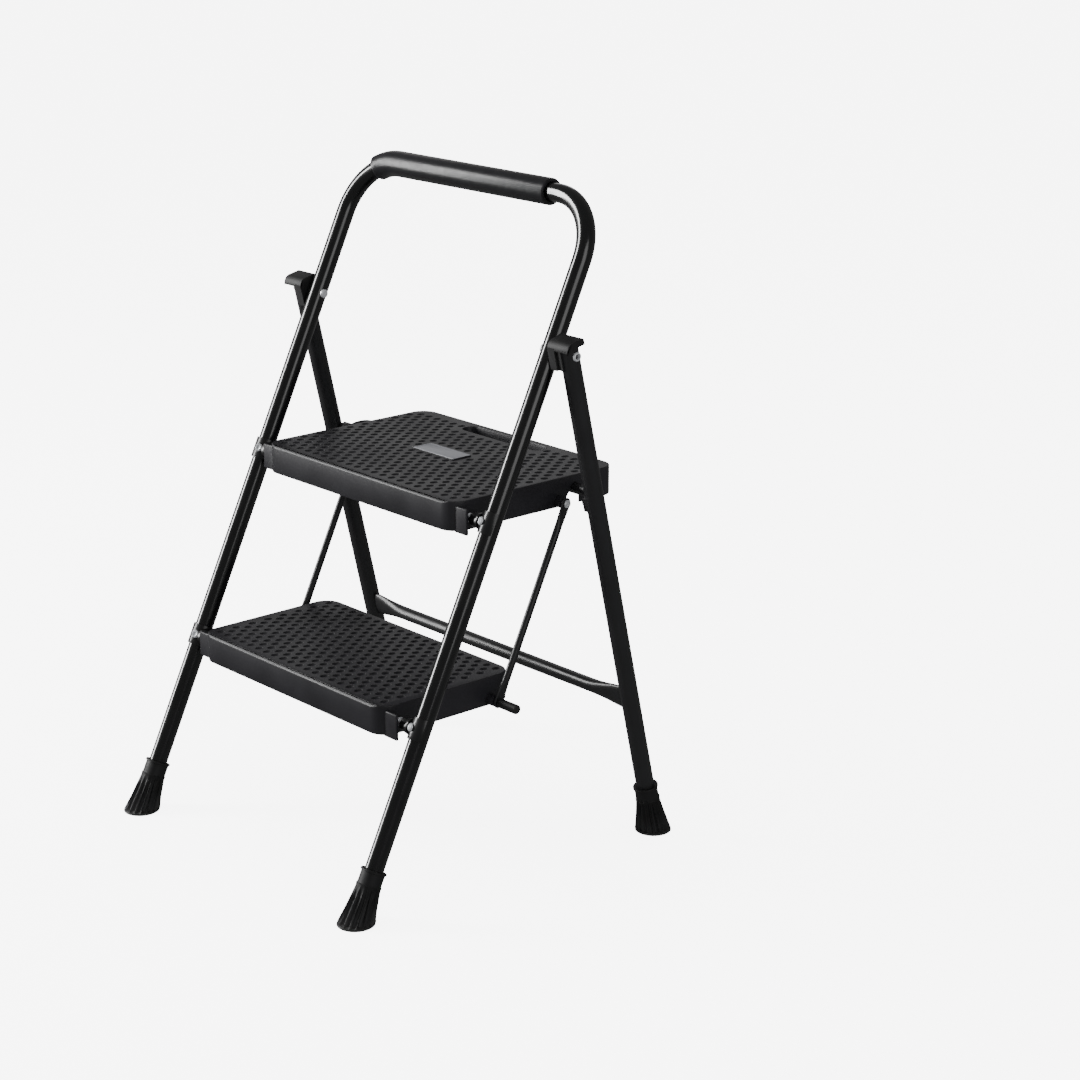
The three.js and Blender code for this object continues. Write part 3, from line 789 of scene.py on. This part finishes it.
def hinge_pin(name, along):
    pin = turned(name, [
        (0, 3.2), (0.6, 4), (8.5, 4), (8.5, 5.4), (9.1, 6), (12.2, 6), (12.7, 5.3), (13.2, 6),
        (16.4, 6), (17, 5.4), (17, 4), (33, 4), (33.5, 3.4),
    ])
    return along_x(pin, PIN_START, -HINGE_FORWARD, along)


hinge_along = {
    "upper": (front_axes.inverted() @ joint_at["upper_step_fold"]).z / MM,
    "lower": (front_axes.inverted() @ joint_at["lower_step_fold"]).z / MM,
}
print("hinges up the leg, mm:", hinge_along)
for level, along in hinge_along.items():
    for make, name, finish, slot, node in (
        (hinge_strap, "strap", strap_coat, "strap_paint", "hinge_strap"),
        (strap_rivet, "domed_rivet", zinc_finish, "zinc", "strap_rivet"),
        (hinge_pin, "collared_pin", zinc_finish, "zinc", "hinge_pin"),
    ):
        made = make(f"{level}_{name}", along)
        hand_over_pair(made, front_axes, finish, slot, "front_frame", f"{level}_{node}")

# %% [markdown]
# ## Rear legs, caps and pivot rivets
#
# The rear legs are straight tubes outside the front legs. A nylon cap closes the top of each, and its
# inner web keeps the two legs apart. One long rivet goes through front leg, web and rear leg.

# %% Rear legs
REAR_HALF_WIDTH = rear_foot.x / MM
REAR_LEG_TOP = 12
rear_length = (leg_pivot.z / math.cos(rear_lean)) / MM
rear_leg = tube(
    "rear_leg_tube", TUBE_RADIUS, (REAR_HALF_WIDTH, 0, TUBE_END - rear_length), (0, 0, 1),
    [("go", rear_length - TUBE_END + REAR_LEG_TOP)], sides=48,
)
hand_over_pair(rear_leg, rear_axes, satin_powder_coat, "rear_paint", "rear_frame", "rear_leg")

# %% Caps
CAP_INNER = 259.5
CAP_OUTER = 297.5
CAP_FRONT = -17.5
CAP_LOW = -17
CAP_WALL = 3


def hinge_cap(name):
    low = REAR_LEG_TOP + 0.5
    roof_line = (
        [(13, low)] + arc(10, 18.5, 3, 0, 90, 4) + arc(-6.5, 10.5, 11, 90, 180, 8) + [(CAP_FRONT, low)]
    )
    roof = soften(prism(name, roof_line, CAP_INNER, CAP_OUTER), 3.4, 4, 50)
    front = slab(name + "_front", (CAP_INNER, CAP_FRONT, CAP_LOW), (272, CAP_FRONT + CAP_WALL, low + 1))
    recess = slab(
        name + "_recess", (CAP_INNER, CAP_FRONT + 2.8, CAP_LOW),
        (REAR_HALF_WIDTH, -TUBE_RADIUS - 0.1, low + 1),
    )
    web_line = (
        [(CAP_FRONT, CAP_LOW), (-4, CAP_LOW)] + arc(-1, -3, 14, -90, 0, 6)
        + [(13, low + 1), (CAP_FRONT, low + 1)]
    )
    web = prism(name + "_web", web_line, CAP_INNER, CAP_INNER + CAP_WALL)
    boss = along_x(bar(name + "_boss", 14.5, 5), CAP_INNER + 1, 0, -2)
    combine(roof, [front, recess, web, boss], "UNION")
    bore = along_x(bar(name + "_bore", PIN_BORE, 30), CAP_INNER - 5, 0, 0)
    combine(roof, [bore], "DIFFERENCE")
    return soften(roof, 0.9, 3, 40)


cap = hinge_cap("rear_leg_cap")
hand_over_pair(cap, rear_axes, cap_plastic, "cap_plastic", "rear_frame", "hinge_cap")

# %% Pivot rivets
RIVET_START = 229
pivot_rivet = turned("leg_pivot_rivet", [
    (0, 3.6), (0.4, 5.2), (1.2, 6), (3.3, 6), (3.3, 4), (63.7, 4), (63.7, 6), (65.2, 6),
    (66.4, 5.6), (66.8, 4.8), (66.6, 3.7), (63.2, 3.2), (63.0, 0.3),
])
along_x(pivot_rivet, RIVET_START, 0, 0)
hand_over_pair(pivot_rivet, rear_axes, zinc_finish, "zinc", "rear_frame", "pivot_rivet")

# %% [markdown]
# ## Crossbars
#
# Two bars tie the rear legs together. The lower one is a 19 mm tube whose ends are pressed flat and
# wide where they are welded to the legs. The upper one is thinner, is set back behind the legs, and
# its ends turn forward to meet them.

# %% Lower crossbar
LOWER_BAR_DOWN = 502.6
weld_face = REAR_HALF_WIDTH - TUBE_RADIUS - FIT_GAP
half_rings = [(0, 9.5, 9.5), (200, 9.5, 9.5), (214, 10.2, 8.9), (232, 12.6, 7), (250, 15.6, 5.4),
              (weld_face - 0.6, 17.4, 5), (weld_face, 16.9, 4.5)]
lower_rings = [(-x, tall, deep) for x, tall, deep in reversed(half_rings[1:])] + half_rings
lower_bar = along_x(turned("lower_tie_bar", lower_rings, 40), 0, 0, -LOWER_BAR_DOWN)
settle(lower_bar, rear_axes)
hand_over(lower_bar, satin_powder_coat, "rear_paint", "rear_frame", "lower_crossbar")

# %% Upper crossbar
UPPER_BAR_DOWN = 218
UPPER_BAR_BACK = 33
UPPER_BAR_RADIUS = 7.5
UPPER_BAR_TIP = 6
bar_end = 252
corner = 16
bar_tail = UPPER_BAR_BACK - corner - UPPER_BAR_TIP
corner_bend = ("bend", 90, corner, (0, 0, -1))
upper_bar = tube(
    "upper_tie_bar", UPPER_BAR_RADIUS, (-bar_end, UPPER_BAR_TIP, -UPPER_BAR_DOWN), (0, 1, 0),
    [("go", bar_tail), corner_bend, ("go", 2 * (bar_end - corner)), corner_bend, ("go", bar_tail)],
    sides=32,
)
plate_high = UPPER_BAR_RADIUS + 1.5
plates = []
for sign in (-1, 1):
    near, far = sorted((sign * bar_end, sign * weld_face))
    plates.append(slab(
        "weld_plate", (near, 1, -UPPER_BAR_DOWN - plate_high), (far, 12, -UPPER_BAR_DOWN + plate_high),
    ))
combine(upper_bar, plates, "UNION")
settle(soften(upper_bar, 0.6, 2, 50), rear_axes)
hand_over(upper_bar, satin_powder_coat, "rear_paint", "rear_frame", "upper_crossbar")

# %% [markdown]
# ## Treads
#
# A tread is one moulding: a plate with a skirt all round and a grid of ribs underneath. Its corners
# are rounded, and the front top edge is chamfered so that it doesn't catch a shin. Small oval dimples
# in staggered rows cover the top. Their edges stop a shoe from sliding. The dimples are real
# hollows: one small ellipsoid is modelled once, copied across the plate and cut out in one go.

# %% Tread body
TREAD_TOP = 21.8
TREAD_HEIGHT = 39.4
TREAD_BOTTOM = TREAD_TOP - TREAD_HEIGHT
TREAD_FRONT = -25.5
TREAD_CORNER = 25
TREAD_WALL = 3
CHAMFER_DEPTH = 3.2
CHAMFER_DROP = 2.6
TOP_ROUND = 1.4
HEM_ROUND = 0.8
RIB_LINES = (-150, -100, -50, 0, 50, 100, 150)
RIB_HALF = 1.2
RIB_RISE = 7


def rounded_slab(name, low, high, radius, segments=10):
    """A box with its four upright edges rounded."""
    piece = slab(name, low, high)
    edit(piece)
    pick(piece, "EDGE", lambda ends: abs(ends[0].z - ends[1].z) > 1)
    bpy.ops.mesh.bevel(offset=radius * MM, segments=segments, affect="EDGES")
    leave_edit()
    return piece


def tread_body(name, half_width, depth, rib_rows):
    """Plate, skirt and ribs, without dimples."""
    back = TREAD_FRONT + depth
    body = rounded_slab(
        name, (-half_width, TREAD_FRONT, TREAD_BOTTOM), (half_width, back, TREAD_TOP), TREAD_CORNER,
    )
    edit(body)
    take_all()
    fall = Vector((0, -CHAMFER_DROP, CHAMFER_DEPTH)).normalized()
    bpy.ops.mesh.bisect(
        plane_co=Vector((0, TREAD_FRONT + CHAMFER_DEPTH, TREAD_TOP)) * MM, plane_no=fall,
        use_fill=True, clear_outer=True,
    )
    high = TREAD_TOP - CHAMFER_DROP - 1
    pick(body, "EDGE", lambda ends: all(end.z > high for end in ends))
    bpy.ops.mesh.bevel(offset=TOP_ROUND * MM, segments=4, affect="EDGES")
    pick(body, "EDGE", lambda ends: all(end.z < TREAD_BOTTOM + 0.1 for end in ends))
    bpy.ops.mesh.bevel(offset=HEM_ROUND * MM, segments=2, affect="EDGES")
    leave_edit()
    hollow = rounded_slab(
        name + "_hollow", (-half_width + TREAD_WALL, TREAD_FRONT + TREAD_WALL, TREAD_BOTTOM - 1),
        (half_width - TREAD_WALL, back - TREAD_WALL, TREAD_TOP - TREAD_WALL - 0.5),
        TREAD_CORNER - TREAD_WALL,
    )
    combine(body, [hollow], "DIFFERENCE")
    low, top = TREAD_BOTTOM + RIB_RISE, TREAD_TOP - TREAD_WALL
    ribs = [slab("rib", (x - RIB_HALF, TREAD_FRONT + 1, low), (x + RIB_HALF, back - 1, top))
            for x in RIB_LINES]
    ribs += [slab("rib", (-half_width + 1, y - RIB_HALF, low), (half_width - 1, y + RIB_HALF, top))
             for y in rib_rows]
    return combine(body, ribs, "UNION")


# %% Guards, bosses and bores
GUARD_END = 219
BOSS_END = 213
BOSS_ROOT = 6
LINK_BACK = 155
LINK_DOWN = 9.4
RIVET_BORE = 3.3


def corner_guards(name, half_width):
    """Plates that stand out beside the front corners and cover the hinges."""
    guard = slab(
        name, (half_width - 8, TREAD_FRONT + 9, TREAD_BOTTOM - 1.5),
        (GUARD_END, TREAD_FRONT + 13, TREAD_TOP - 6),
    )
    soften(guard, 1.5, 3)
    web = slab(
        name + "_web", (half_width - 4, TREAD_FRONT + 11, TREAD_BOTTOM + 0.4),
        (half_width - 0.2, TREAD_FRONT + 23, TREAD_TOP - 8),
    )
    combine(guard, [web], "UNION")
    return [guard, mirrored(guard, name + "_left")]


def pivot_bars(name, radius, inner, outer, back=LINK_BACK, drop=LINK_DOWN):
    """A pair of round bars on a pivot's axis, one at each side."""
    one = along_x(bar(name, radius, outer - inner), inner, back, -drop)
    return [one, mirrored(one, name + "_left")]


def link_bosses(half_width):
    """Bosses with a rounded rim, which carry the links' pivots."""
    inner = half_width - TREAD_WALL - BOSS_ROOT
    reach = BOSS_END - inner
    boss = turned("link_boss", [(0, 7.5), (reach - 1, 7.5), (reach - 0.3, 7.2), (reach, 6.6)])
    along_x(boss, inner, LINK_BACK, -LINK_DOWN)
    return [boss, mirrored(boss, "link_boss_left")]


# %% Dimples
DIMPLE_ROWS = 13.4
DIMPLE_PITCH = 18.2
DIMPLE_COLUMNS = 23
DIMPLE_HALF = (5.2, 6.4, 2.4)
DIMPLE_LIFT = 0.25
DIMPLE_BORDER = 11
FIRST_ROW = -6


def dimple_places(half_width, last_row, kept_clear):
    """Centres of staggered dimples, leaving the border and any boxes (x0, y0, x1, y1) clear."""
    places = []
    row, number = FIRST_ROW, 0
    while row <= last_row + 0.1:
        start = -(DIMPLE_COLUMNS // 2) * DIMPLE_PITCH + (number % 2) * DIMPLE_PITCH / 2
        for column in range(DIMPLE_COLUMNS):
            x = start + column * DIMPLE_PITCH
            blocked = any(x0 < x < x1 and y0 < row < y1 for x0, y0, x1, y1 in kept_clear)
            if abs(x) < half_width - DIMPLE_BORDER and not blocked:
                places.append((x, row))
        row += DIMPLE_ROWS
        number += 1
    return places


def dimple_cutter(places):
    deselect_all()
    bpy.ops.mesh.primitive_uv_sphere_add(segments=12, ring_count=8, radius=MM, location=(0, 0, 0))
    pattern = named(bpy.context.object, "dimple")
    pattern.scale = DIMPLE_HALF
    settle(pattern)
    copies = []
    for x, y in places:
        one = pattern.copy()
        one.data = pattern.data.copy()
        one.location = Vector((x, y, TREAD_TOP + DIMPLE_LIFT)) * MM
        bpy.context.scene.collection.objects.link(one)
        copies.append(one)
    bpy.data.objects.remove(pattern)
    return settle(join_up(copies))


def cut_dimples(tread, half_width, last_row, kept_clear):
    places = dimple_places(half_width, last_row, kept_clear)
    combine(tread, [dimple_cutter(places)], "DIFFERENCE")
    print(tread.name, "has", len(places), "dimples")


# %% Upper tread
UPPER_HALF_WIDTH = 203
UPPER_DEPTH = 286
UPPER_LAST_ROW = 247
SLOT_BACK = 236.5
SLOT_HALF = (83, 13)
SLOT_ROUND = 0.97
BADGE_BACK = 124
BADGE_HALF = (42, 16)
PAD_MARGIN = 0.4
PAD_RISE = 1.5
BADGE_RISE = 2.2


def slot_block(name, margin, low, high):
    half_x, half_y = SLOT_HALF[0] + margin, SLOT_HALF[1] + margin
    return rounded_slab(
        name, (-half_x, SLOT_BACK - half_y, low), (half_x, SLOT_BACK + half_y, high),
        half_y * SLOT_ROUND,
    )


def crossbar_notch():
    """Room in the side skirts for the upper crossbar, which leaves downward and forward."""
    centre = upper_axes.inverted() @ rear_axes @ (Vector((0, UPPER_BAR_BACK, -UPPER_BAR_DOWN)) * MM)
    y, z = centre.y / MM, centre.z / MM
    room = UPPER_BAR_RADIUS + 0.8
    drop = z - TREAD_BOTTOM + 2
    outline = arc(y, z, room, 0, 180, 12) + [(y - room - 0.72 * drop, z - drop), (y + room, z - drop)]
    return prism("crossbar_notch", outline, -UPPER_HALF_WIDTH - 1, UPPER_HALF_WIDTH + 1)


upper_tread = tread_body("upper_tread_moulding", UPPER_HALF_WIDTH, UPPER_DEPTH, (50, 97, 143))
combine(upper_tread, [slot_block("slot_collar", 3, TREAD_BOTTOM + 4, TREAD_TOP - 1)], "UNION")
combine(upper_tread, corner_guards("upper_guard", UPPER_HALF_WIDTH), "UNION")
combine(upper_tread, link_bosses(UPPER_HALF_WIDTH), "UNION")
slot_rim = slot_block("slot_rim", 1.0, TREAD_TOP - 1.0, TREAD_TOP + 2)
edit(slot_rim)
pick(slot_rim, "VERT", lambda ends: ends[0].z < TREAD_TOP)
centre = Vector((0, SLOT_BACK, TREAD_TOP)) * MM
bpy.ops.transform.resize(value=(0.985, 0.92, 1), center_override=centre)
leave_edit()
pad_x, pad_y = BADGE_HALF[0] + PAD_MARGIN, BADGE_HALF[1] + PAD_MARGIN
badge_pad = slab(
    "badge_pad", (-pad_x, BADGE_BACK - pad_y, TREAD_TOP - 1),
    (pad_x, BADGE_BACK + pad_y, TREAD_TOP + PAD_RISE),
)
combine(upper_tread, [badge_pad], "UNION")
cuts = [slot_block("slot", 0, TREAD_BOTTOM - 1, TREAD_TOP + 1), slot_rim, crossbar_notch()]
cuts += pivot_bars("pin_bore", PIN_BORE, UPPER_HALF_WIDTH - 5, UPPER_HALF_WIDTH + 1, 0, 0)
cuts += pivot_bars("rivet_bore", RIVET_BORE, UPPER_HALF_WIDTH - 11, BOSS_END + 1)
combine(upper_tread, cuts, "DIFFERENCE")
clear_of_dimples = [
    (-SLOT_HALF[0] - 8, SLOT_BACK - 18, SLOT_HALF[0] + 8, SLOT_BACK + 18),
    (-BADGE_HALF[0] - 5, BADGE_BACK - 21, BADGE_HALF[0] + 5, BADGE_BACK + 21),
]
cut_dimples(upper_tread, UPPER_HALF_WIDTH, UPPER_LAST_ROW, clear_of_dimples)
settle(upper_tread, upper_axes)
hand_over(upper_tread, tread_plastic, "tread_plastic", "upper_step", "upper_tread")

# %% [markdown]
# ### Badge plate
#
# A grey plate stands on a low pad in the middle of the platform. It is left blank. Its top is inset
# twice, and the inner face is lowered a little, which leaves a raised border that catches the light.

# %% Badge plate, left blank
badge = rounded_slab(
    "blank_badge", (-BADGE_HALF[0], BADGE_BACK - BADGE_HALF[1], TREAD_TOP + 1.4),
    (BADGE_HALF[0], BADGE_BACK + BADGE_HALF[1], TREAD_TOP + BADGE_RISE), 2, 4,
)
edit(badge)
pick(badge, "FACE", lambda ends: all(end.z > TREAD_TOP + 2 for end in ends))
bpy.ops.mesh.bevel(offset=0.4 * MM, segments=3, affect="EDGES")
pick(badge, "FACE", lambda ends: all(end.z > TREAD_TOP + 2.1 for end in ends))
badge_centre = Vector((0, BADGE_BACK, TREAD_TOP)) * MM
for margin, drop in ((1.8, 0), (0.4, -0.35)):
    extrude((0, 0, drop * MM))
    shrink = [1 - margin / half for half in BADGE_HALF]
    bpy.ops.transform.resize(value=(*shrink, 1), center_override=badge_centre)
leave_edit()
settle(badge, upper_axes)
hand_over(badge, badge_plastic, "badge_plastic", "upper_step", "badge_plate")

# %% Lower tread
LOWER_HALF_WIDTH = 201
LOWER_DEPTH = 221
LOWER_LAST_ROW = 184
lower_tread = tread_body("lower_tread_moulding", LOWER_HALF_WIDTH, LOWER_DEPTH, (60, 115))
combine(lower_tread, corner_guards("lower_guard", LOWER_HALF_WIDTH), "UNION")
combine(lower_tread, link_bosses(LOWER_HALF_WIDTH), "UNION")
rod_room = bar("rod_room", PIN_BORE, 2 * BOSS_END + 2)
cuts = [along_x(rod_room, -BOSS_END - 1, LINK_BACK, -LINK_DOWN)]
cuts += pivot_bars("pin_bore", PIN_BORE, LOWER_HALF_WIDTH - 5, LOWER_HALF_WIDTH + 1, 0, 0)
combine(lower_tread, cuts, "DIFFERENCE")
cut_dimples(lower_tread, LOWER_HALF_WIDTH, LOWER_LAST_ROW, [])
settle(lower_tread, lower_axes)
hand_over(lower_tread, tread_plastic, "tread_plastic", "lower_step", "lower_tread")

# %% [markdown]
# ## Rod, sleeves, links and link rivets
#
# A rod runs through the back of the lower tread and carries a link bar and a nylon sleeve at each
# end. The links are thin tube, pressed flat at both ends where a rivet or the rod goes through.

# %% Rod and sleeves
ROD_RADIUS = 4
SLEEVE_INNER = 222
SLEEVE_OUTER = 256
rod_half = SLEEVE_OUTER - 4.5
rod = along_x(turned("lower_tread_rod", [
    (-rod_half, 3.4), (0.6 - rod_half, ROD_RADIUS), (rod_half - 0.6, ROD_RADIUS), (rod_half, 3.4),
]), 0, LINK_BACK, -LINK_DOWN)
settle(rod, lower_axes)
hand_over(rod, satin_powder_coat, "link_paint", "lower_step", "rear_rod")
sleeve = turned("rod_end_sleeve", [
    (0, 5.6), (0.6, 6.5), (5, 6.5), (5.5, 6.1), (6.5, 6.1), (7, 6.5), (30, 6.5), (32.6, 6.2),
    (33.6, 5.2), (34, 3.6),
])
bore = turned("sleeve_bore", [(-1, PIN_BORE), (30, PIN_BORE)])
combine(sleeve, [bore], "DIFFERENCE")
along_x(sleeve, SLEEVE_INNER, LINK_BACK, -LINK_DOWN)
hand_over_pair(sleeve, lower_axes, cap_plastic, "cap_plastic", "lower_step", "rod_sleeve")

# %% Link bars
LINK_PLANE = 218
LINK_BORE = 4.6
link_length = (joint_at["upper_step_fold"] - joint_at["lower_step_fold"]).length / MM
end_rings = [(7.9, 1.2, 1.6), (7.3, 1.75, 3.2), (5.6, 1.75, 5.6), (3, 1.75, 7.2), (0, 1.75, 7.6),
             (-10, 1.75, 7.5), (-18, 2.3, 6.9), (-28, 4.2, 5.5), (-38, 5, 5)]
other_end = [(-link_length - height, thick, wide) for height, thick, wide in reversed(end_rings)]
link = turned("parallel_link", end_rings + other_end, 36)
settle(link, Matrix.Translation((LINK_PLANE * MM, 0, 0)))
upper_bore = along_x(bar("upper_bore", RIVET_BORE, 8), LINK_PLANE - 4, 0, 0)
lower_bore = along_x(bar("lower_bore", LINK_BORE, 8), LINK_PLANE - 4, 0, -link_length)
combine(link, [upper_bore, lower_bore], "DIFFERENCE")
hand_over_pair(link, link_axes, satin_powder_coat, "link_paint", "link_{side}", "link_bar")

# %% Link rivets
rivet_tail = UPPER_HALF_WIDTH - TREAD_WALL - BOSS_ROOT - FIT_GAP
rivet_out = LINK_PLANE + 2.1 - rivet_tail
link_rivet = turned("link_pivot_rivet", [
    (-2.5, 4.2), (-2, 5), (0, 5), (0, 3), (rivet_out, 3), (rivet_out, 5.1), (rivet_out + 0.5, 5.5),
    (rivet_out + 1.4, 5.2), (rivet_out + 2.3, 4.1), (rivet_out + 2.8, 2.4), (rivet_out + 2.9, 0.4),
])
along_x(link_rivet, rivet_tail, LINK_BACK, -LINK_DOWN)
hand_over_pair(link_rivet, upper_axes, zinc_finish, "zinc", "upper_step", "link_rivet")

# %% [markdown]
# ## Floor, light and camera
#
# The floor is a light table: a wide white sheet that glows a little, so shadows stay faint. Neither
# it nor the white air shows in reflections, as if black cards stood round the stool, and so the
# gloss shows only the lamps. A soft lamp behind on the left puts a sheen on the tread tops, and two
# tall strips draw the thin highlights down the tubes. The camera stands to the user's right and looks
# slightly down with a long lens, so the stool's upright lines stay nearly parallel.

# %% Floor
TABLE_GLOW = 6.0
FLOOR_SIZE = 60


def studio_floor():
    finish, tree, place = new_finish("light_table_white")
    fibre = add_node(
        tree, "ShaderNodeTexNoise", values={"Scale": per(120), "Detail": 2.0}, links={"Vector": place},
    )
    colour = add_node(
        tree, "ShaderNodeMix", {"data_type": "RGBA"}, {"A": linear("#F6F6F6"), "B": linear("#FAFAFA")},
        {"Factor": fibre},
    )
    shader = add_node(
        tree, "ShaderNodeBsdfPrincipled",
        values={"Roughness": 0.85, "IOR": 1.3, "Emission Color": linear("#FFFFFF"),
                "Emission Strength": TABLE_GLOW},
        links={"Base Color": colour},
    )
    add_node(tree, "ShaderNodeOutputMaterial", links={"Surface": shader})
    deselect_all()
    bpy.ops.mesh.primitive_plane_add(size=FLOOR_SIZE, location=(0, 0, 0))
    floor = named(bpy.context.object, "studio_floor")
    floor.data.materials.append(finish)
    floor.visible_glossy = False
    floor.visible_diffuse = False


studio_floor()

# %% Air
AIR_LIGHT = 1.2
AIR_IN_GLOSS = 0.13
AIR_SEEN = 7.0
world = bpy.data.worlds.new("studio_air")
bpy.context.scene.world = world
world.use_nodes = True
air = world.node_tree
air.nodes.clear()
ray = add_node(air, "ShaderNodeLightPath")
seen = add_node(
    air, "ShaderNodeMapRange", values={"To Min": AIR_LIGHT, "To Max": AIR_SEEN},
    links={"Value": ray.outputs["Is Camera Ray"]},
)
strength = add_node(
    air, "ShaderNodeMix", {"data_type": "FLOAT"}, {"B": AIR_IN_GLOSS},
    {"Factor": ray.outputs["Is Glossy Ray"], "A": seen},
)
glow = add_node(
    air, "ShaderNodeBackground", values={"Color": linear("#FFFFFF")}, links={"Strength": strength},
)
add_node(air, "ShaderNodeOutputWorld", links={"Surface": glow})

# %% Lamps
look_at = Vector((0, -0.044, 0.45))


def lamp(name, place, size, power, tall=None):
    """A lamp of a size in metres and a power in watts, turned to the stool."""
    data = bpy.data.lights.new(name, "AREA")
    data.energy = power
    data.size = size
    if tall is not None:
        data.shape = "RECTANGLE"
        data.size_y = tall
    stand = bpy.data.objects.new(name, data)
    stand.location = place
    stand.rotation_euler = (look_at - Vector(place)).to_track_quat("-Z", "Y").to_euler()
    bpy.context.scene.collection.objects.link(stand)


lamp("back_left_softbox", (-2.2, 2.0, 1.7), 1.6, 4.5)
lamp("front_left_strip", (-2.5, -1.9, 1.5), 0.6, 145, 2.6)
lamp("side_strip", (3.2, -0.6, 1.8), 1.8, 20, 2.4)

# %% Camera
AZIMUTH = math.radians(48.4)
ELEVATION = math.radians(17.1)
DISTANCE = 3.3833
TO_THE_RIGHT = 0.2458
DOWNWARD = 0.0379
LENS = 84.8
SENSOR = 36
back = Vector((
    math.sin(AZIMUTH) * math.cos(ELEVATION), -math.cos(AZIMUTH) * math.cos(ELEVATION),
    math.sin(ELEVATION),
))
right = Vector((math.cos(AZIMUTH), math.sin(AZIMUTH), 0))
up = back.cross(right)
camera_data = bpy.data.cameras.new("long_lens")
camera_data.sensor_width = SENSOR
camera_data.lens = LENS
camera = bpy.data.objects.new("long_lens", camera_data)
camera.location = look_at + back * DISTANCE + right * TO_THE_RIGHT - up * DOWNWARD
camera.rotation_euler = (-back).to_track_quat("-Z", "Y").to_euler()
camera_data.clip_start = 0.1
camera_data.clip_end = FLOOR_SIZE
bpy.context.scene.collection.objects.link(camera)
bpy.context.scene.camera = camera
